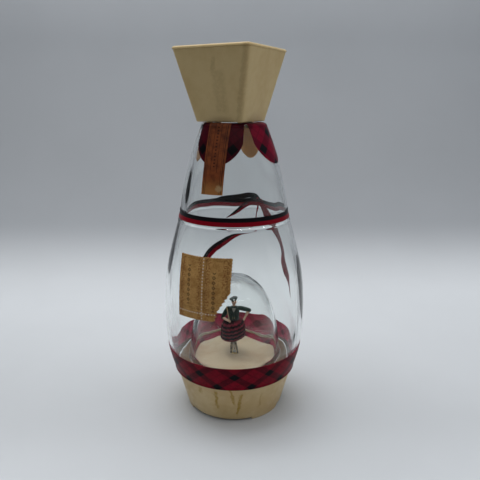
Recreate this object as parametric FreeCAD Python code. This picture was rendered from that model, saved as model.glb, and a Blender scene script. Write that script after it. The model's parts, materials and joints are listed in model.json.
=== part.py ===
# Musical decanter: a glass bottle with a dome pushed up in its foot, a small dancer inside the dome,
# a base cup that holds a wind-up music movement, and a square stopper cap. Lengths are millimetres.
# Origin: centre of the base on the table. +Z is up, and -Y is the front, where the stamp is.
import FreeCAD
import Part
import math
import os

# Clearances shared by all fits
running_fit = 0.05
paper_gap = 0.12
seat_gap = 0.2
cut_overrun = 1.0

# Base cup
base_height = 35.4
base_foot_radius = 41.6
base_rim_radius = 51.2
base_wall = 2.6
base_skirt_radius = 39.2
ledge_depth = 2.4
ledge_width = 3.0
ledge_haunch = 7.0
relief_depth = 1.0
relief_count = 3
foot_arc_deg = 40.0
first_foot_deg = 314.0

# Bottom plate and its screws
key_recess_depth = 7.6
bottom_plate_thickness = 2.0
plate_screw_count = 3
plate_screw_start_deg = 20.0
plate_boss_radius = 3.2
boss_circle_radius = 35.6
plate_boss_height = 11.0
plate_rib_thickness = 2.0
plate_screw_radius = 1.3
plate_screw_length = 9.0
screw_head_radius = 2.4
screw_head_height = 1.4

# Glass bottle
gasket_thickness = 0.8
gasket_inset = 2.0
lower_body_height = 135.8
upper_body_height = 69.0
shoulder_height = 3.0
neck_height = 18.0
heel_overhang = 1.4
heel_rise = 1.4
heel_round = 1.6
body_radius = 59.75
belt_radius = 44.7
cone_top_radius = 26.4
shoulder_round = 3.8
shoulder_fall_depth = 0.3
neck_radius = 13.4
neck_fillet = 2.4
bore_radius = 9.5
bore_flare = 3.0
mouth_round = 1.0
lip_radius = 14.8
lip_height = 5.0
lip_round = 1.2
glass_wall = 3.4
foot_thickness = 8.5
trough_depth = 5.0
dome_opening_radius = 36.8
dome_height = 75.3
dome_wall = 3.4
dome_edge_round = 0.8

# Height and radius shares of the glass outlines
swell_height_shares = (0.157, 0.396)
swell_radius_shares = (0.727, 1.0)
taper_height_shares = (0.661, 0.838)
taper_radius_shares = (0.797, 0.405)
cone_height_shares = (0.406, 0.783)
cone_fall_shares = (0.273, 0.689)
dome_height_shares = (0.29, 0.529, 0.728, 0.92, 0.985)
dome_radius_shares = (0.957, 0.88, 0.777, 0.52, 0.27)
shoulder_bend_shares = (0.3, 0.72)
quarter_bend_share = 1.0 - math.sqrt(0.5)

# Paper and ribbon trim
paper_thickness = 0.3
trim_points = 11
band_width = 21.8
band_rim_gap = 0.3
belt_width = 3.3
belt_gap = 0.15
petal_count = 4
petal_length = 28.0
petal_half_width = 18.5
petal_root_half_width = 17.1
petal_round = 16.0
collar_ring_width = 4.0
strip_width = 17.6
strip_length = 49.0
strip_tuck = 1.0
stamp_width = 44.5
stamp_height = 48.7
stamp_drop = 22.5
stamp_shift = -1.3
stamp_tilt_deg = -1.0
stamp_torn_width = 12.0
stamp_torn_height = 23.0

# Stopper cap
cap_gap = 0.8
cap_height = 55.2
cap_bottom_side = 41.4
cap_top_side = 66.9
cap_wall = 2.2
cap_corner_round = 3.6
cap_floor = 2.4
cap_lid_thickness = 2.4
cap_lid_rim = 3.0
cap_turn_deg = -5.2
cap_offset_x = -2.0
cap_offset_y = -0.7
socket_wall = 1.6
socket_gap = 0.8
socket_roof = 2.2
peg_radius = 4.0
peg_length = 9.0
lip_gasket_thickness = 1.2
lip_gasket_inset = 0.5
cork_length = 14.0
cork_taper = 0.4

# Stage under the dome
stage_rise = 7.6
stage_thickness = 2.0
stage_skirt_wall = 2.0
stage_side_gap = 1.4
bush_radius = 2.8
bush_flange_radius = 4.0
bush_flange_thickness = 0.9
bush_length = 4.0

# Music movement: plates, pillars and gear teeth
bed_gap = 2.3
bed_thickness = 2.0
bed_edge_gap = 1.7
bed_foot_radius = 2.6
foot_circle_radius = 27.0
bed_foot_degs = (62.0, 150.0, 285.0)
bed_screw_radius = 1.2
bridge_thickness = 1.4
bridge_bar_width = 6.0
pillar_radius = 2.4
tenon_radius = 1.4
pillar_margin = 4.0
pillar_degs = (318.0, 46.0, 165.0)
bed_window_gap = 1.0
gear_width = 1.8
main_module = 0.6
governor_module = 0.5
barrel_teeth = 48
spindle_teeth = 16
cylinder_teeth = 10
second_pinion_teeth = 12
second_wheel_teeth = 40
fly_teeth = 10
tooth_width_share = 0.40
tooth_crest_share = 0.45
tooth_tip_share = 0.70
tooth_root_share = 1.08

# Spring barrel, winding arbor and key
barrel_gap = 0.6
barrel_flange = 1.5
barrel_can_height = 8.2
barrel_can_wall = 1.0
crown_face = 2.2
crown_can_gap = 1.0
wheel_gap = 0.9
arbor_radius = 1.6
pivot_radius = 1.0
spring_turns = 6
spring_strip = 0.45
spring_gap = 0.4
spring_points_per_turn = 12
ratchet_teeth = 14
ratchet_radius = 5.5
ratchet_tooth_depth = 0.9
ratchet_thickness = 1.3
click_length = 7.0
click_width = 2.2
click_gap = 0.3
key_span = 24.0
key_thickness = 1.8
key_wing = 4.6
key_table_gap = 1.2
key_hub_radius = 3.0

# Pinned cylinder and comb
cylinder_radius = 5.4
cylinder_length = 22.0
cylinder_wall = 1.0
bracket_thickness = 1.5
bracket_width = 9.0
bracket_top_radius = 2.6
pin_radius = 0.3
pin_height = 0.7
pins_per_track = 4
golden_turn_share = 0.382
comb_teeth = 16
comb_tooth_length = 12.0
comb_slot_share = 0.28
comb_thickness = 1.0
comb_back = 6.6
comb_tip_gap = 0.35
comb_screw_radius = 0.9
comb_screw_head = 1.7
comb_screw_count = 3
comb_screw_depth = 5.0

# Governor fly and stop plunger
second_turn_deg = 202.5
fly_turn_deg = 250.0
fly_radius = 8.0
fly_height = 7.0
fly_vane_thickness = 0.8
fly_hub_radius = 1.8
staff_radius = 0.9
plunger_radius = 1.6
plunger_head_radius = 2.8
plunger_head = 1.0
plunger_gap = 0.5
plunger_reach = 5.0
plunger_table_gap = 0.3

# Dancer on the spindle
figure_turn_deg = 24.0
spindle_radius = 1.2
spindle_collar_radius = 1.9
spindle_collar = 0.8
wire_radius = 0.7
figure_lift = 0.4
foot_spread = 3.1
knee_spread = 1.05
hip_spread = 1.5
leg_front = 1.75
thigh_radius = 1.3
calf_radius = 1.1
ankle_radius = 0.75
calf_share = 0.6
knee_share = 0.45
shoe_length = 4.2
shoe_width = 1.5
shoe_height = 1.4
kilt_hem = 15.4
kilt_height = 16.0
kilt_hem_radius = 11.2
kilt_hip_radius = 11.4
kilt_waist_radius = 7.2
kilt_hip_share = 0.38
kilt_pleats = 20
kilt_pleat_depth = 0.8
kilt_cloth = 1.0
kilt_waist = 2.0
jacket_height = 12.6
jacket_waist_radius = 4.4
jacket_chest_radius = 4.8
jacket_shoulder_radius = 4.9
jacket_neck_radius = 1.6
jacket_depth_share = 0.72
jacket_height_shares = (0.45, 0.8, 1.0)
jacket_socket = 5.0
head_height = 7.0
head_radius = 2.5
head_width_share = 0.86
neck_stub = 0.9
neck_stub_radius = 1.3
nose_width = 0.5
nose_height = 1.1
nose_bridge_share = 0.3
ear_depth = 0.35
ear_width = 0.6
ear_height = 0.7
brow_share = 0.72
hat_height = 3.4
hat_radius = 3.6
hat_crown_share = 0.42
hat_band_share = 0.5
hat_tilt_deg = -12.0
hat_pompom_radius = 0.7
sleeve_root_radius = 1.7
sleeve_radius = 1.45
cuff_radius = 0.95
hand_radius = 1.1
elbow_out = 14.0
elbow_drop = 4.0
akimbo_hand_out = 9.6
akimbo_hand_drop = 11.6
akimbo_hand_front = 2.4
raised_elbow_out = 9.4
raised_elbow_drop = 11.4
raised_hand_out = 3.6
raised_hand_front = 7.2
raised_hand_drop = 10.8
stick_radius = 0.45
stick_length = 15.5
stick_below = 1.8
stick_lean_deg = -9.0

# Heights worked out from the stack
foot_z = base_height + gasket_thickness
belt_z = foot_z + lower_body_height
cone_top_z = belt_z + upper_body_height
shoulder_z = cone_top_z + shoulder_height
lip_z = shoulder_z + neck_height
cap_z = shoulder_z + cap_gap
cap_rim_z = cap_z + cap_height - cap_lid_thickness
roof_z = lip_z + lip_gasket_thickness
stage_z = base_height + stage_rise
ledge_z = base_height - ledge_depth
plate_z = key_recess_depth + bottom_plate_thickness
bed_z = plate_z + bed_gap
bed_top_z = bed_z + bed_thickness
flange_z = bed_top_z + barrel_gap
flange_top_z = flange_z + barrel_flange
cover_z = flange_top_z + barrel_can_height
cover_top_z = cover_z + gear_width
wheel_z = cover_top_z + wheel_gap
bridge_z = wheel_z + gear_width + wheel_gap
bridge_top_z = bridge_z + bridge_thickness

# Gear centres worked out from the tooth counts
barrel_pitch_radius = main_module * barrel_teeth / 2
cylinder_pitch_radius = main_module * cylinder_teeth / 2
crown_outer_radius = barrel_pitch_radius + crown_face / 2
can_radius = barrel_pitch_radius - crown_face / 2 - crown_can_gap
barrel_y = main_module * (barrel_teeth + spindle_teeth) / 2
cylinder_z = flange_top_z + tooth_root_share * main_module + cylinder_pitch_radius
second_distance = main_module * (barrel_teeth + second_pinion_teeth) / 2
fly_distance = governor_module * (second_wheel_teeth + fly_teeth) / 2

# Radii worked out from the base rim and the dome
heel_radius = base_rim_radius + heel_overhang
stage_radius = dome_opening_radius - stage_side_gap
stage_inner_radius = stage_radius - stage_skirt_wall

ORIGIN = FreeCAD.Vector(0, 0, 0)
UP = FreeCAD.Vector(0, 0, 1)
FORWARD = FreeCAD.Vector(0, -1, 0)
BACK = FreeCAD.Vector(0, 1, 0)
NOSE_SLOPE = FreeCAD.Vector(0, -0.45, 0.9)


# Small helpers for outlines and solids
def vec(x, y, z):
    return FreeCAD.Vector(x, y, z)


def rz(radius, height):
    """A point of a turned outline, radius from the axis and height."""
    return FreeCAD.Vector(radius, 0, height)


def polar(radius, degrees, height=0):
    angle = math.radians(degrees)
    return FreeCAD.Vector(radius * math.cos(angle), radius * math.sin(angle), height)


def line(start, end):
    return Part.LineSegment(start, end).toShape()


def arc(start, middle, end):
    return Part.Arc(start, middle, end).toShape()


def quarter(start, end, out_first):
    """A quarter bend between two points, leaving along the radius (out_first) or along the height."""
    far_share = 1.0 - quarter_bend_share
    radius_share = far_share if out_first else quarter_bend_share
    height_share = quarter_bend_share if out_first else far_share
    radius = start.x + (end.x - start.x) * radius_share
    height = start.z + (end.z - start.z) * height_share
    return arc(start, rz(radius, height), end)


def spline(points):
    curve = Part.BSplineCurve()
    curve.interpolate(points)
    return curve


def chain(points):
    return [line(a, b) for a, b in zip(points, points[1:])]


def turned(edges):
    """A solid of revolution about Z from a closed run of edges in the XZ plane."""
    return Part.Face(Part.Wire(edges)).revolve(ORIGIN, UP, 360)


def turned_points(points):
    return turned(chain(points + points[:1]))


def rod(radius, low, high, centre=ORIGIN):
    return Part.makeCylinder(radius, high - low, vec(centre.x, centre.y, low), UP)


def ring(inner, outer, low, high, centre=ORIGIN):
    cutter = rod(inner, low - cut_overrun, high + cut_overrun, centre)
    return rod(outer, low, high, centre).cut(cutter)


def prism(points, direction):
    return Part.Face(Part.Wire(chain(points + points[:1]))).extrude(direction)


def placed(shape, degrees, centre=ORIGIN):
    copy = shape.copy()
    copy.rotate(ORIGIN, UP, degrees)
    copy.translate(centre)
    return copy


def save(name, shape):
    shape.exportStep("parts/" + name + ".step")


# Curves of the glass, shared by the bottle and the trim that lies on it
def lower_wall():
    rise = body_radius - heel_radius
    fall = body_radius - belt_radius
    points = [rz(heel_radius, foot_z + heel_rise)]
    for height, radius in zip(swell_height_shares, swell_radius_shares):
        points.append(rz(heel_radius + rise * radius, foot_z + lower_body_height * height))
    for height, radius in zip(taper_height_shares, taper_radius_shares):
        points.append(rz(belt_radius + fall * radius, foot_z + lower_body_height * height))
    points.append(rz(belt_radius, belt_z))
    return spline(points)


def upper_wall():
    fall = belt_radius - cone_top_radius
    points = [rz(belt_radius, belt_z)]
    for height, drop in zip(cone_height_shares, cone_fall_shares):
        points.append(rz(belt_radius - fall * drop, belt_z + upper_body_height * height))
    points.append(rz(cone_top_radius, cone_top_z))
    return spline(points)


def dome_wall_curve():
    points = [rz(dome_opening_radius, foot_z + dome_edge_round)]
    for height, radius in zip(dome_height_shares, dome_radius_shares):
        points.append(rz(dome_opening_radius * radius, foot_z + dome_height * height))
    points.append(rz(0, foot_z + dome_height))
    curve = Part.BSplineCurve()
    curve.interpolate(Points=points, InitialTangent=UP, FinalTangent=vec(-1, 0, 0))
    return curve


def at_height(curve, height):
    """The parameter where a rising wall curve reaches a height, found by halving."""
    low = curve.FirstParameter
    high = curve.LastParameter
    for _ in range(50):
        middle = (low + high) / 2
        if curve.value(middle).z < height:
            low = middle
        else:
            high = middle
    return (low + high) / 2


def offset_points(curve, low, high, count, distance):
    """Points beside a wall curve, moved outwards by a distance along its normal."""
    points = []
    for index in range(count):
        parameter = low + (high - low) * index / (count - 1)
        tangent = curve.tangent(parameter)[0]
        tangent.normalize()
        normal = vec(tangent.z, 0, -tangent.x)
        points.append(curve.value(parameter) + normal * distance)
    return points


wall_low = lower_wall()
wall_high = upper_wall()
dome_curve = dome_wall_curve()


def wall_band(curve, low_z, high_z, gap, thickness):
    """A closed ring of trim that follows a wall curve between two heights."""
    low = at_height(curve, low_z)
    high = at_height(curve, high_z)
    inner = offset_points(curve, low, high, trim_points, gap)
    outer = offset_points(curve, low, high, trim_points, gap + thickness)
    edges = [spline(inner).toShape(), line(inner[-1], outer[-1])]
    edges += [spline(outer[::-1]).toShape(), line(outer[0], inner[0])]
    return turned(edges)


def shoulder_bend():
    """Start, middle and end of the bend from the cone to the shoulder."""
    end = rz(cone_top_radius - shoulder_round, shoulder_z - shoulder_fall_depth)
    bend_in, bend_up = shoulder_bend_shares
    rise = end.z - cone_top_z
    middle = rz(cone_top_radius - shoulder_round * bend_in, cone_top_z + rise * bend_up)
    return rz(cone_top_radius, cone_top_z), middle, end


def shoulder_wrap(low_z, gap, thickness, end_radius):
    """A closed skin of trim that follows the cone from a height up and over the shoulder."""
    low = at_height(wall_high, low_z)
    top, middle, end = shoulder_bend()
    slant = (top - end).normalize()
    rise = shoulder_fall_depth * (end.x - end_radius) / (end.x - neck_radius - neck_fillet)
    sides = []
    for distance in (gap, gap + thickness):
        cone = offset_points(wall_high, low, wall_high.LastParameter, trim_points, distance)
        bend = [middle + vec(-slant.z, 0, slant.x) * distance, end + UP * distance]
        tuck = rz(end_radius, end.z + rise + distance)
        sides.append((cone, bend, tuck))
    edges = []
    for cone, bend, tuck in sides:
        edges += [spline(cone).toShape(), arc(cone[-1], bend[0], bend[1]), line(bend[1], tuck)]
    edges.append(line(sides[0][2], sides[1][2]))
    edges.append(line(sides[0][0][0], sides[1][0][0]))
    return turned(Part.sortEdges(edges)[0])


# Glass
def glass_bottle():
    heel = rz(heel_radius, foot_z + heel_rise)
    heel_foot = rz(heel_radius - heel_round, foot_z)
    cone_top, bend_middle, bend_end = shoulder_bend()
    neck_root = rz(neck_radius + neck_fillet, shoulder_z)
    neck_low = rz(neck_radius, shoulder_z + neck_fillet)
    lip_under = rz(neck_radius, lip_z - lip_height)
    lip_out = rz(lip_radius, lip_z - lip_height + lip_radius - neck_radius)
    lip_side = rz(lip_radius, lip_z - lip_round)
    lip_top = rz(lip_radius - lip_round, lip_z)
    mouth = rz(bore_radius + mouth_round, lip_z)
    bore_top = rz(bore_radius, lip_z - mouth_round)
    ceiling_z = shoulder_z - glass_wall
    bore_low = rz(bore_radius, ceiling_z + bore_flare)
    ceiling = rz(bore_radius + bore_flare, ceiling_z)
    trough_z = foot_z + foot_thickness
    trough_rim_z = trough_z + trough_depth

    last = wall_high.LastParameter
    inner = offset_points(wall_high, at_height(wall_high, belt_z), last, 4, -glass_wall)[::-1]
    low = at_height(wall_low, trough_rim_z)
    inner_low = offset_points(wall_low, low, wall_low.LastParameter, 8, -glass_wall)[:-1][::-1]
    inner_wall = spline(inner + inner_low)
    dome_start = at_height(dome_curve, trough_rim_z)
    dome_points = offset_points(dome_curve, dome_start, dome_curve.LastParameter, 9, dome_wall)
    dome_points[-1] = rz(0, foot_z + dome_height + dome_wall)
    dome_outer = Part.BSplineCurve()
    dome_outer.interpolate(Points=dome_points, InitialTangent=dome_curve.tangent(dome_start)[0],
                           FinalTangent=vec(-1, 0, 0))
    ceiling_end = rz(inner[0].x - shoulder_round / 2, ceiling_z)
    trough_side = inner_low[-1]
    trough_floor = rz((trough_side.x + dome_points[0].x) / 2, trough_z)
    opening = rz(dome_opening_radius, foot_z + dome_edge_round)
    opening_foot = rz(dome_opening_radius + dome_edge_round, foot_z)

    edges = [line(opening_foot, heel_foot), quarter(heel_foot, heel, True), wall_low.toShape()]
    edges += [wall_high.toShape(), arc(cone_top, bend_middle, bend_end), line(bend_end, neck_root)]
    edges += [quarter(neck_root, neck_low, True), line(neck_low, lip_under), line(lip_under, lip_out)]
    edges += [line(lip_out, lip_side), quarter(lip_side, lip_top, False), line(lip_top, mouth)]
    edges += [quarter(mouth, bore_top, True), line(bore_top, bore_low)]
    edges += [quarter(bore_low, ceiling, False), line(ceiling, ceiling_end)]
    edges += [quarter(ceiling_end, inner[0], True), inner_wall.toShape()]
    edges += [arc(trough_side, trough_floor, dome_points[0]), dome_outer.toShape()]
    edges += [line(dome_points[-1], rz(0, foot_z + dome_height)), dome_curve.toShape()]
    edges.append(quarter(opening, opening_foot, False))
    return turned(edges)


# Paper and ribbon on the glass
def tartan_band():
    low_z = base_height + band_rim_gap
    wall_z = foot_z + heel_rise
    first = wall_low.FirstParameter
    overhang = vec(0, 0, wall_z - low_z)
    high = at_height(wall_low, low_z + band_width)
    inner = offset_points(wall_low, first, high, trim_points, paper_gap)
    outer = offset_points(wall_low, first, high, trim_points, paper_gap + paper_thickness)
    edges = [line(inner[0] - overhang, inner[0]), spline(inner).toShape(), line(inner[-1], outer[-1])]
    edges += [spline(outer[::-1]).toShape(), line(outer[0], outer[0] - overhang)]
    edges.append(line(outer[0] - overhang, inner[0] - overhang))
    return turned(edges)


def black_belt():
    return wall_band(wall_high, belt_z, belt_z + belt_width, paper_gap, paper_thickness)


def red_belt():
    return wall_band(wall_low, belt_z - belt_width, belt_z - belt_gap, paper_gap, paper_thickness)


def petal_outline(root_z):
    """One round-ended petal drawn on the front plane, wider in its lower part than at its root."""
    tip_z = cone_top_z - petal_length
    side_z = tip_z + petal_round
    left_root = vec(-petal_root_half_width, 0, root_z)
    right_root = vec(petal_root_half_width, 0, root_z)
    left = vec(-petal_half_width, 0, side_z)
    right = vec(petal_half_width, 0, side_z)
    edges = [line(right_root, left_root), line(left_root, left)]
    edges += [arc(left, vec(0, 0, tip_z), right), line(right, right_root)]
    return Part.Face(Part.Wire(edges))


def tartan_collar():
    """One cut-out piece: petals down the cone, joined by a ring over the shoulder."""
    tip_z = cone_top_z - petal_length
    end_radius = cone_top_radius - shoulder_round - collar_ring_width
    shell = shoulder_wrap(tip_z - cut_overrun, paper_gap, paper_thickness, end_radius)
    block = petal_outline(shoulder_z + cut_overrun).extrude(FORWARD * body_radius)
    blocks = [placed(block, 360.0 / petal_count * index) for index in range(petal_count)]
    return shell.common(blocks[0].multiFuse(blocks[1:])).removeSplitter()


def neck_seal_strip():
    """A paper strip over the collar's front petal, from the shoulder down the cone."""
    gap = 2 * paper_gap + paper_thickness
    low_z = cone_top_z - strip_length
    end_radius = cone_top_radius - shoulder_round - strip_tuck
    shell = shoulder_wrap(low_z, gap, paper_thickness, end_radius)
    corner = vec(-strip_width / 2, -body_radius, low_z - cut_overrun)
    return shell.common(Part.makeBox(strip_width, body_radius, cap_height + strip_length, corner))


def body_stamp():
    low_z = belt_z - belt_width - stamp_drop - stamp_height
    shell = wall_band(wall_low, low_z - cut_overrun, low_z + stamp_height + cut_overrun,
                      paper_gap, paper_thickness)
    half = stamp_width / 2
    high = stamp_height / 2
    outline = [vec(-half, 0, -high), vec(half - stamp_torn_width, 0, -high)]
    outline += [vec(half, 0, stamp_torn_height - high), vec(half, 0, high), vec(-half, 0, high)]
    block = prism(outline, FORWARD * body_radius)
    block.rotate(ORIGIN, BACK, stamp_tilt_deg)
    block.translate(vec(stamp_shift, 0, low_z + high))
    return shell.common(block)


# Stopper cap
def rounded_square(side, height):
    """A square wire with rounded corners, a little off the axis as the cap sits."""
    half = side / 2
    flat = half - cap_corner_round
    bend = half - cap_corner_round * quarter_bend_share
    edges = []
    for turn in range(4):
        corner = [vec(half, -flat, height), vec(half, flat, height), vec(bend, bend, height),
                  vec(flat, half, height)]
        spun = [placed(Part.Vertex(point), 90.0 * turn).Point for point in corner]
        edges += [line(spun[0], spun[1]), arc(spun[1], spun[2], spun[3])]
    wire = Part.Wire(edges)
    wire.translate(vec(cap_offset_x, cap_offset_y, 0))
    return wire


def cap_side(height):
    """The outer side of the cap at a height."""
    return cap_bottom_side + (cap_top_side - cap_bottom_side) * (height - cap_z) / cap_height


def square_taper(low, high, inset):
    sides = [rounded_square(cap_side(height) - 2 * inset, height) for height in (low, high)]
    return Part.makeLoft(sides, True, True)


def cap_shell():
    socket_radius = lip_radius + socket_gap
    floor_z = cap_z + cap_floor
    hollow = square_taper(floor_z, cap_rim_z + cut_overrun, cap_wall)
    walls = square_taper(cap_z, cap_rim_z, 0).cut(hollow)
    socket = rod(socket_radius + socket_wall, cap_z, roof_z + socket_roof)
    socket = socket.common(square_taper(cap_z, cap_rim_z, 0))
    body = walls.fuse(socket).cut(rod(socket_radius, cap_z - cut_overrun, roof_z))
    body = body.fuse(rod(peg_radius, roof_z - peg_length, roof_z)).removeSplitter()
    return placed(body, cap_turn_deg)


def cap_top_plate():
    plate = square_taper(cap_rim_z, cap_z + cap_height, 0)
    inset = cap_wall + seat_gap
    low = cap_rim_z - cap_lid_rim
    rim = square_taper(low, cap_rim_z, inset).cut(square_taper(low, cap_rim_z, inset + cap_wall))
    return placed(plate.fuse(rim), cap_turn_deg)


def lip_gasket():
    inner = bore_radius + lip_gasket_inset
    return ring(inner, lip_radius - lip_gasket_inset, lip_z, roof_z)


def stopper_cork():
    top = bore_radius - 2 * running_fit
    low_z = roof_z - cork_length
    cork = turned_points([rz(0, low_z), rz(top - cork_taper, low_z), rz(top, roof_z), rz(0, roof_z)])
    return cork.cut(rod(peg_radius + running_fit, roof_z - peg_length - seat_gap, roof_z + cut_overrun))


# Base, stage and bottom plate
def base_outer_radius(height):
    return base_foot_radius + (base_rim_radius - base_foot_radius) * height / base_height


def base_outer_solid():
    return Part.makeCone(base_foot_radius, base_rim_radius, base_height)


def boss_degs():
    step = 360.0 / plate_screw_count
    return [plate_screw_start_deg + step * index for index in range(plate_screw_count)]


def boss_places():
    return [polar(boss_circle_radius, degrees) for degrees in boss_degs()]


def bed_foot_places():
    return [polar(foot_circle_radius, degrees) for degrees in bed_foot_degs]


def base_cup():
    rim = base_rim_radius - base_wall
    haunch_z = ledge_z - ledge_haunch
    points = [rz(base_skirt_radius, 0), rz(base_foot_radius, 0), rz(base_rim_radius, base_height)]
    points += [rz(rim, base_height), rz(rim, ledge_z), rz(rim - ledge_width, ledge_z)]
    points += [rz(base_outer_radius(haunch_z) - base_wall, haunch_z)]
    points += [rz(base_outer_radius(plate_z) - base_wall, plate_z), rz(base_skirt_radius, plate_z)]
    cup = turned_points(points)
    pieces = []
    for degrees in boss_degs():
        centre = polar(boss_circle_radius, degrees)
        pieces.append(rod(plate_boss_radius, plate_z, plate_z + plate_boss_height, centre))
        rib_base = vec(boss_circle_radius, -plate_rib_thickness / 2, plate_z)
        rib = Part.makeBox(body_radius, plate_rib_thickness, plate_boss_height, rib_base)
        pieces.append(placed(rib, degrees).common(base_outer_solid()))
    cup = cup.multiFuse(pieces).removeSplitter()
    hole_top = key_recess_depth + plate_screw_length + seat_gap
    for place in boss_places():
        cup = cup.cut(rod(plate_screw_radius, key_recess_depth, hole_top, place))
    relief_pitch = 360.0 / relief_count
    relief_arc = relief_pitch - foot_arc_deg
    for index in range(relief_count):
        start = first_foot_deg - relief_arc + relief_pitch * index
        slot = Part.makeCylinder(body_radius, relief_depth, ORIGIN, UP, relief_arc)
        cup = cup.cut(placed(slot, start))
    return cup


def stage_plate():
    inner = stage_inner_radius
    flange = base_rim_radius - base_wall - seat_gap
    under_z = stage_z - stage_thickness
    hole = bush_radius + running_fit
    points = [rz(hole, under_z), rz(inner, under_z), rz(inner, ledge_z), rz(flange, ledge_z)]
    points += [rz(flange, base_height), rz(stage_radius, base_height)]
    points += [rz(stage_radius, stage_z), rz(hole, stage_z)]
    recess = rod(bush_flange_radius + running_fit, stage_z - bush_flange_thickness, stage_z + cut_overrun)
    return turned_points(points).cut(recess)


def spindle_bush():
    body = rod(bush_radius, stage_z - bush_length, stage_z)
    flange = rod(bush_flange_radius, stage_z - bush_flange_thickness, stage_z)
    bore = rod(spindle_radius + running_fit, stage_z - bush_length - cut_overrun, stage_z + cut_overrun)
    return body.fuse(flange).cut(bore)


def glass_gasket():
    return ring(dome_opening_radius + gasket_inset, heel_radius - heel_round, base_height, foot_z)


def screw(radius, length, centre):
    """A screw driven upwards through the bottom plate, its head under the plate."""
    head_z = key_recess_depth
    head = rod(screw_head_radius, head_z - screw_head_height, head_z, centre)
    return head.fuse(rod(radius - running_fit, head_z, head_z + length, centre))


def bottom_plate():
    plate = rod(base_skirt_radius - seat_gap, key_recess_depth, plate_z)
    holes = [rod(arbor_radius + seat_gap, 0, plate_z + cut_overrun, barrel_centre())]
    holes.append(rod(plunger_radius + running_fit, 0, plate_z + cut_overrun, plunger_centre()))
    holes += [rod(plate_screw_radius, 0, plate_z + cut_overrun, place) for place in boss_places()]
    holes += [rod(bed_screw_radius, 0, plate_z + cut_overrun, place) for place in bed_foot_places()]
    return plate.cut(holes)


def bottom_plate_screws():
    screws = [screw(plate_screw_radius, plate_screw_length, place) for place in boss_places()]
    return Part.makeCompound(screws)


def movement_screws():
    length = bottom_plate_thickness + bed_gap + bed_thickness / 2
    screws = [screw(bed_screw_radius, length, place) for place in bed_foot_places()]
    return Part.makeCompound(screws)


# Music movement: axes of the train
def barrel_centre():
    return vec(0, barrel_y, 0)


def second_centre():
    return barrel_centre() + polar(second_distance, second_turn_deg)


def fly_centre():
    return second_centre() + polar(fly_distance, fly_turn_deg)


def plunger_centre():
    return fly_centre() + polar(plunger_reach, 180.0)


def bracket_faces():
    """The inner and the outer bracket's near face, measured forward from the spindle."""
    inner = main_module * spindle_teeth / 2
    return inner, inner + bracket_thickness + seat_gap + cylinder_length + seat_gap


def pillar_centres():
    """One pillar beside the barrel, and two as far out as the stage's skirt lets the bridge go."""
    right_deg, back_deg, left_deg = pillar_degs
    reach = crown_outer_radius + pillar_radius + pillar_margin
    circle = stage_inner_radius - seat_gap - bridge_bar_width / 2
    right = barrel_centre() + polar(reach, right_deg)
    return [right, polar(circle, back_deg), polar(circle, left_deg)]


def bar(start, end, width, low, high):
    """A flat bar with round ends between two axes."""
    across = (end - start).normalize().cross(UP) * (width / 2)
    corners = [start + across, end + across, end - across, start - across]
    lift = vec(0, 0, low)
    body = prism([corner + lift for corner in corners], vec(0, 0, high - low))
    ends = [rod(width / 2, low, high, point) for point in (start, end)]
    return body.multiFuse(ends)


def movement_bedplate():
    plate = rod(base_skirt_radius - bed_edge_gap, bed_z, bed_top_z)
    feet = [rod(bed_foot_radius, plate_z, bed_z, place) for place in bed_foot_places()]
    plate = plate.multiFuse(feet).removeSplitter()
    high = bed_top_z + cut_overrun
    holes = [rod(arbor_radius + running_fit, plate_z, high, barrel_centre())]
    holes.append(rod(staff_radius + running_fit, plate_z, high, second_centre()))
    holes.append(rod(staff_radius + running_fit, plate_z, high, fly_centre()))
    holes.append(rod(plunger_radius + running_fit, plate_z, high, plunger_centre()))
    holes.append(rod(pivot_radius + running_fit, plate_z, high, click_pivot()))
    for centre in pillar_centres():
        holes.append(rod(tenon_radius + running_fit, plate_z, high, centre))
    screw_low = plate_z - cut_overrun
    screw_high = bed_z + bed_thickness / 2
    holes += [rod(bed_screw_radius, screw_low, screw_high, place) for place in bed_foot_places()]
    half = cylinder_radius + pin_height + bed_window_gap
    window_end = drum_start() + cylinder_length + seat_gap
    window = vec(-half, -window_end, plate_z)
    holes.append(Part.makeBox(2 * half, cylinder_length + 2 * seat_gap, high - plate_z, window))
    for degrees in boss_degs():
        clear = plate_boss_radius + seat_gap
        holes.append(rod(clear, plate_z, high, polar(boss_circle_radius, degrees)))
        edge = vec(boss_circle_radius, -clear, plate_z)
        notch = Part.makeBox(base_skirt_radius, 2 * clear, high - plate_z, edge)
        holes.append(placed(notch, degrees))
    return plate.cut(holes)


def bridge_pillars():
    pillars = []
    for centre in pillar_centres():
        post = rod(pillar_radius, bed_top_z, bridge_z, centre)
        pillars.append(post.fuse(rod(tenon_radius, bed_z, bridge_top_z, centre)))
    return Part.makeCompound(pillars)


def train_bridge():
    right, back, left = pillar_centres()
    spans = [(right, ORIGIN), (ORIGIN, barrel_centre()), (barrel_centre(), back)]
    spans += [(left, second_centre()), (second_centre(), barrel_centre()), (second_centre(), fly_centre())]
    bars = [bar(a, b, bridge_bar_width, bridge_z, bridge_top_z) for a, b in spans]
    plate = bars[0].multiFuse(bars[1:]).removeSplitter()
    holes = [rod(spindle_radius + running_fit, 0, cap_z)]
    holes.append(rod(pivot_radius + running_fit, 0, cap_z, barrel_centre()))
    holes += [rod(staff_radius + running_fit, 0, cap_z, c) for c in (second_centre(), fly_centre())]
    holes += [rod(tenon_radius + running_fit, 0, cap_z, centre) for centre in pillar_centres()]
    return plate.cut(holes)


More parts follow.
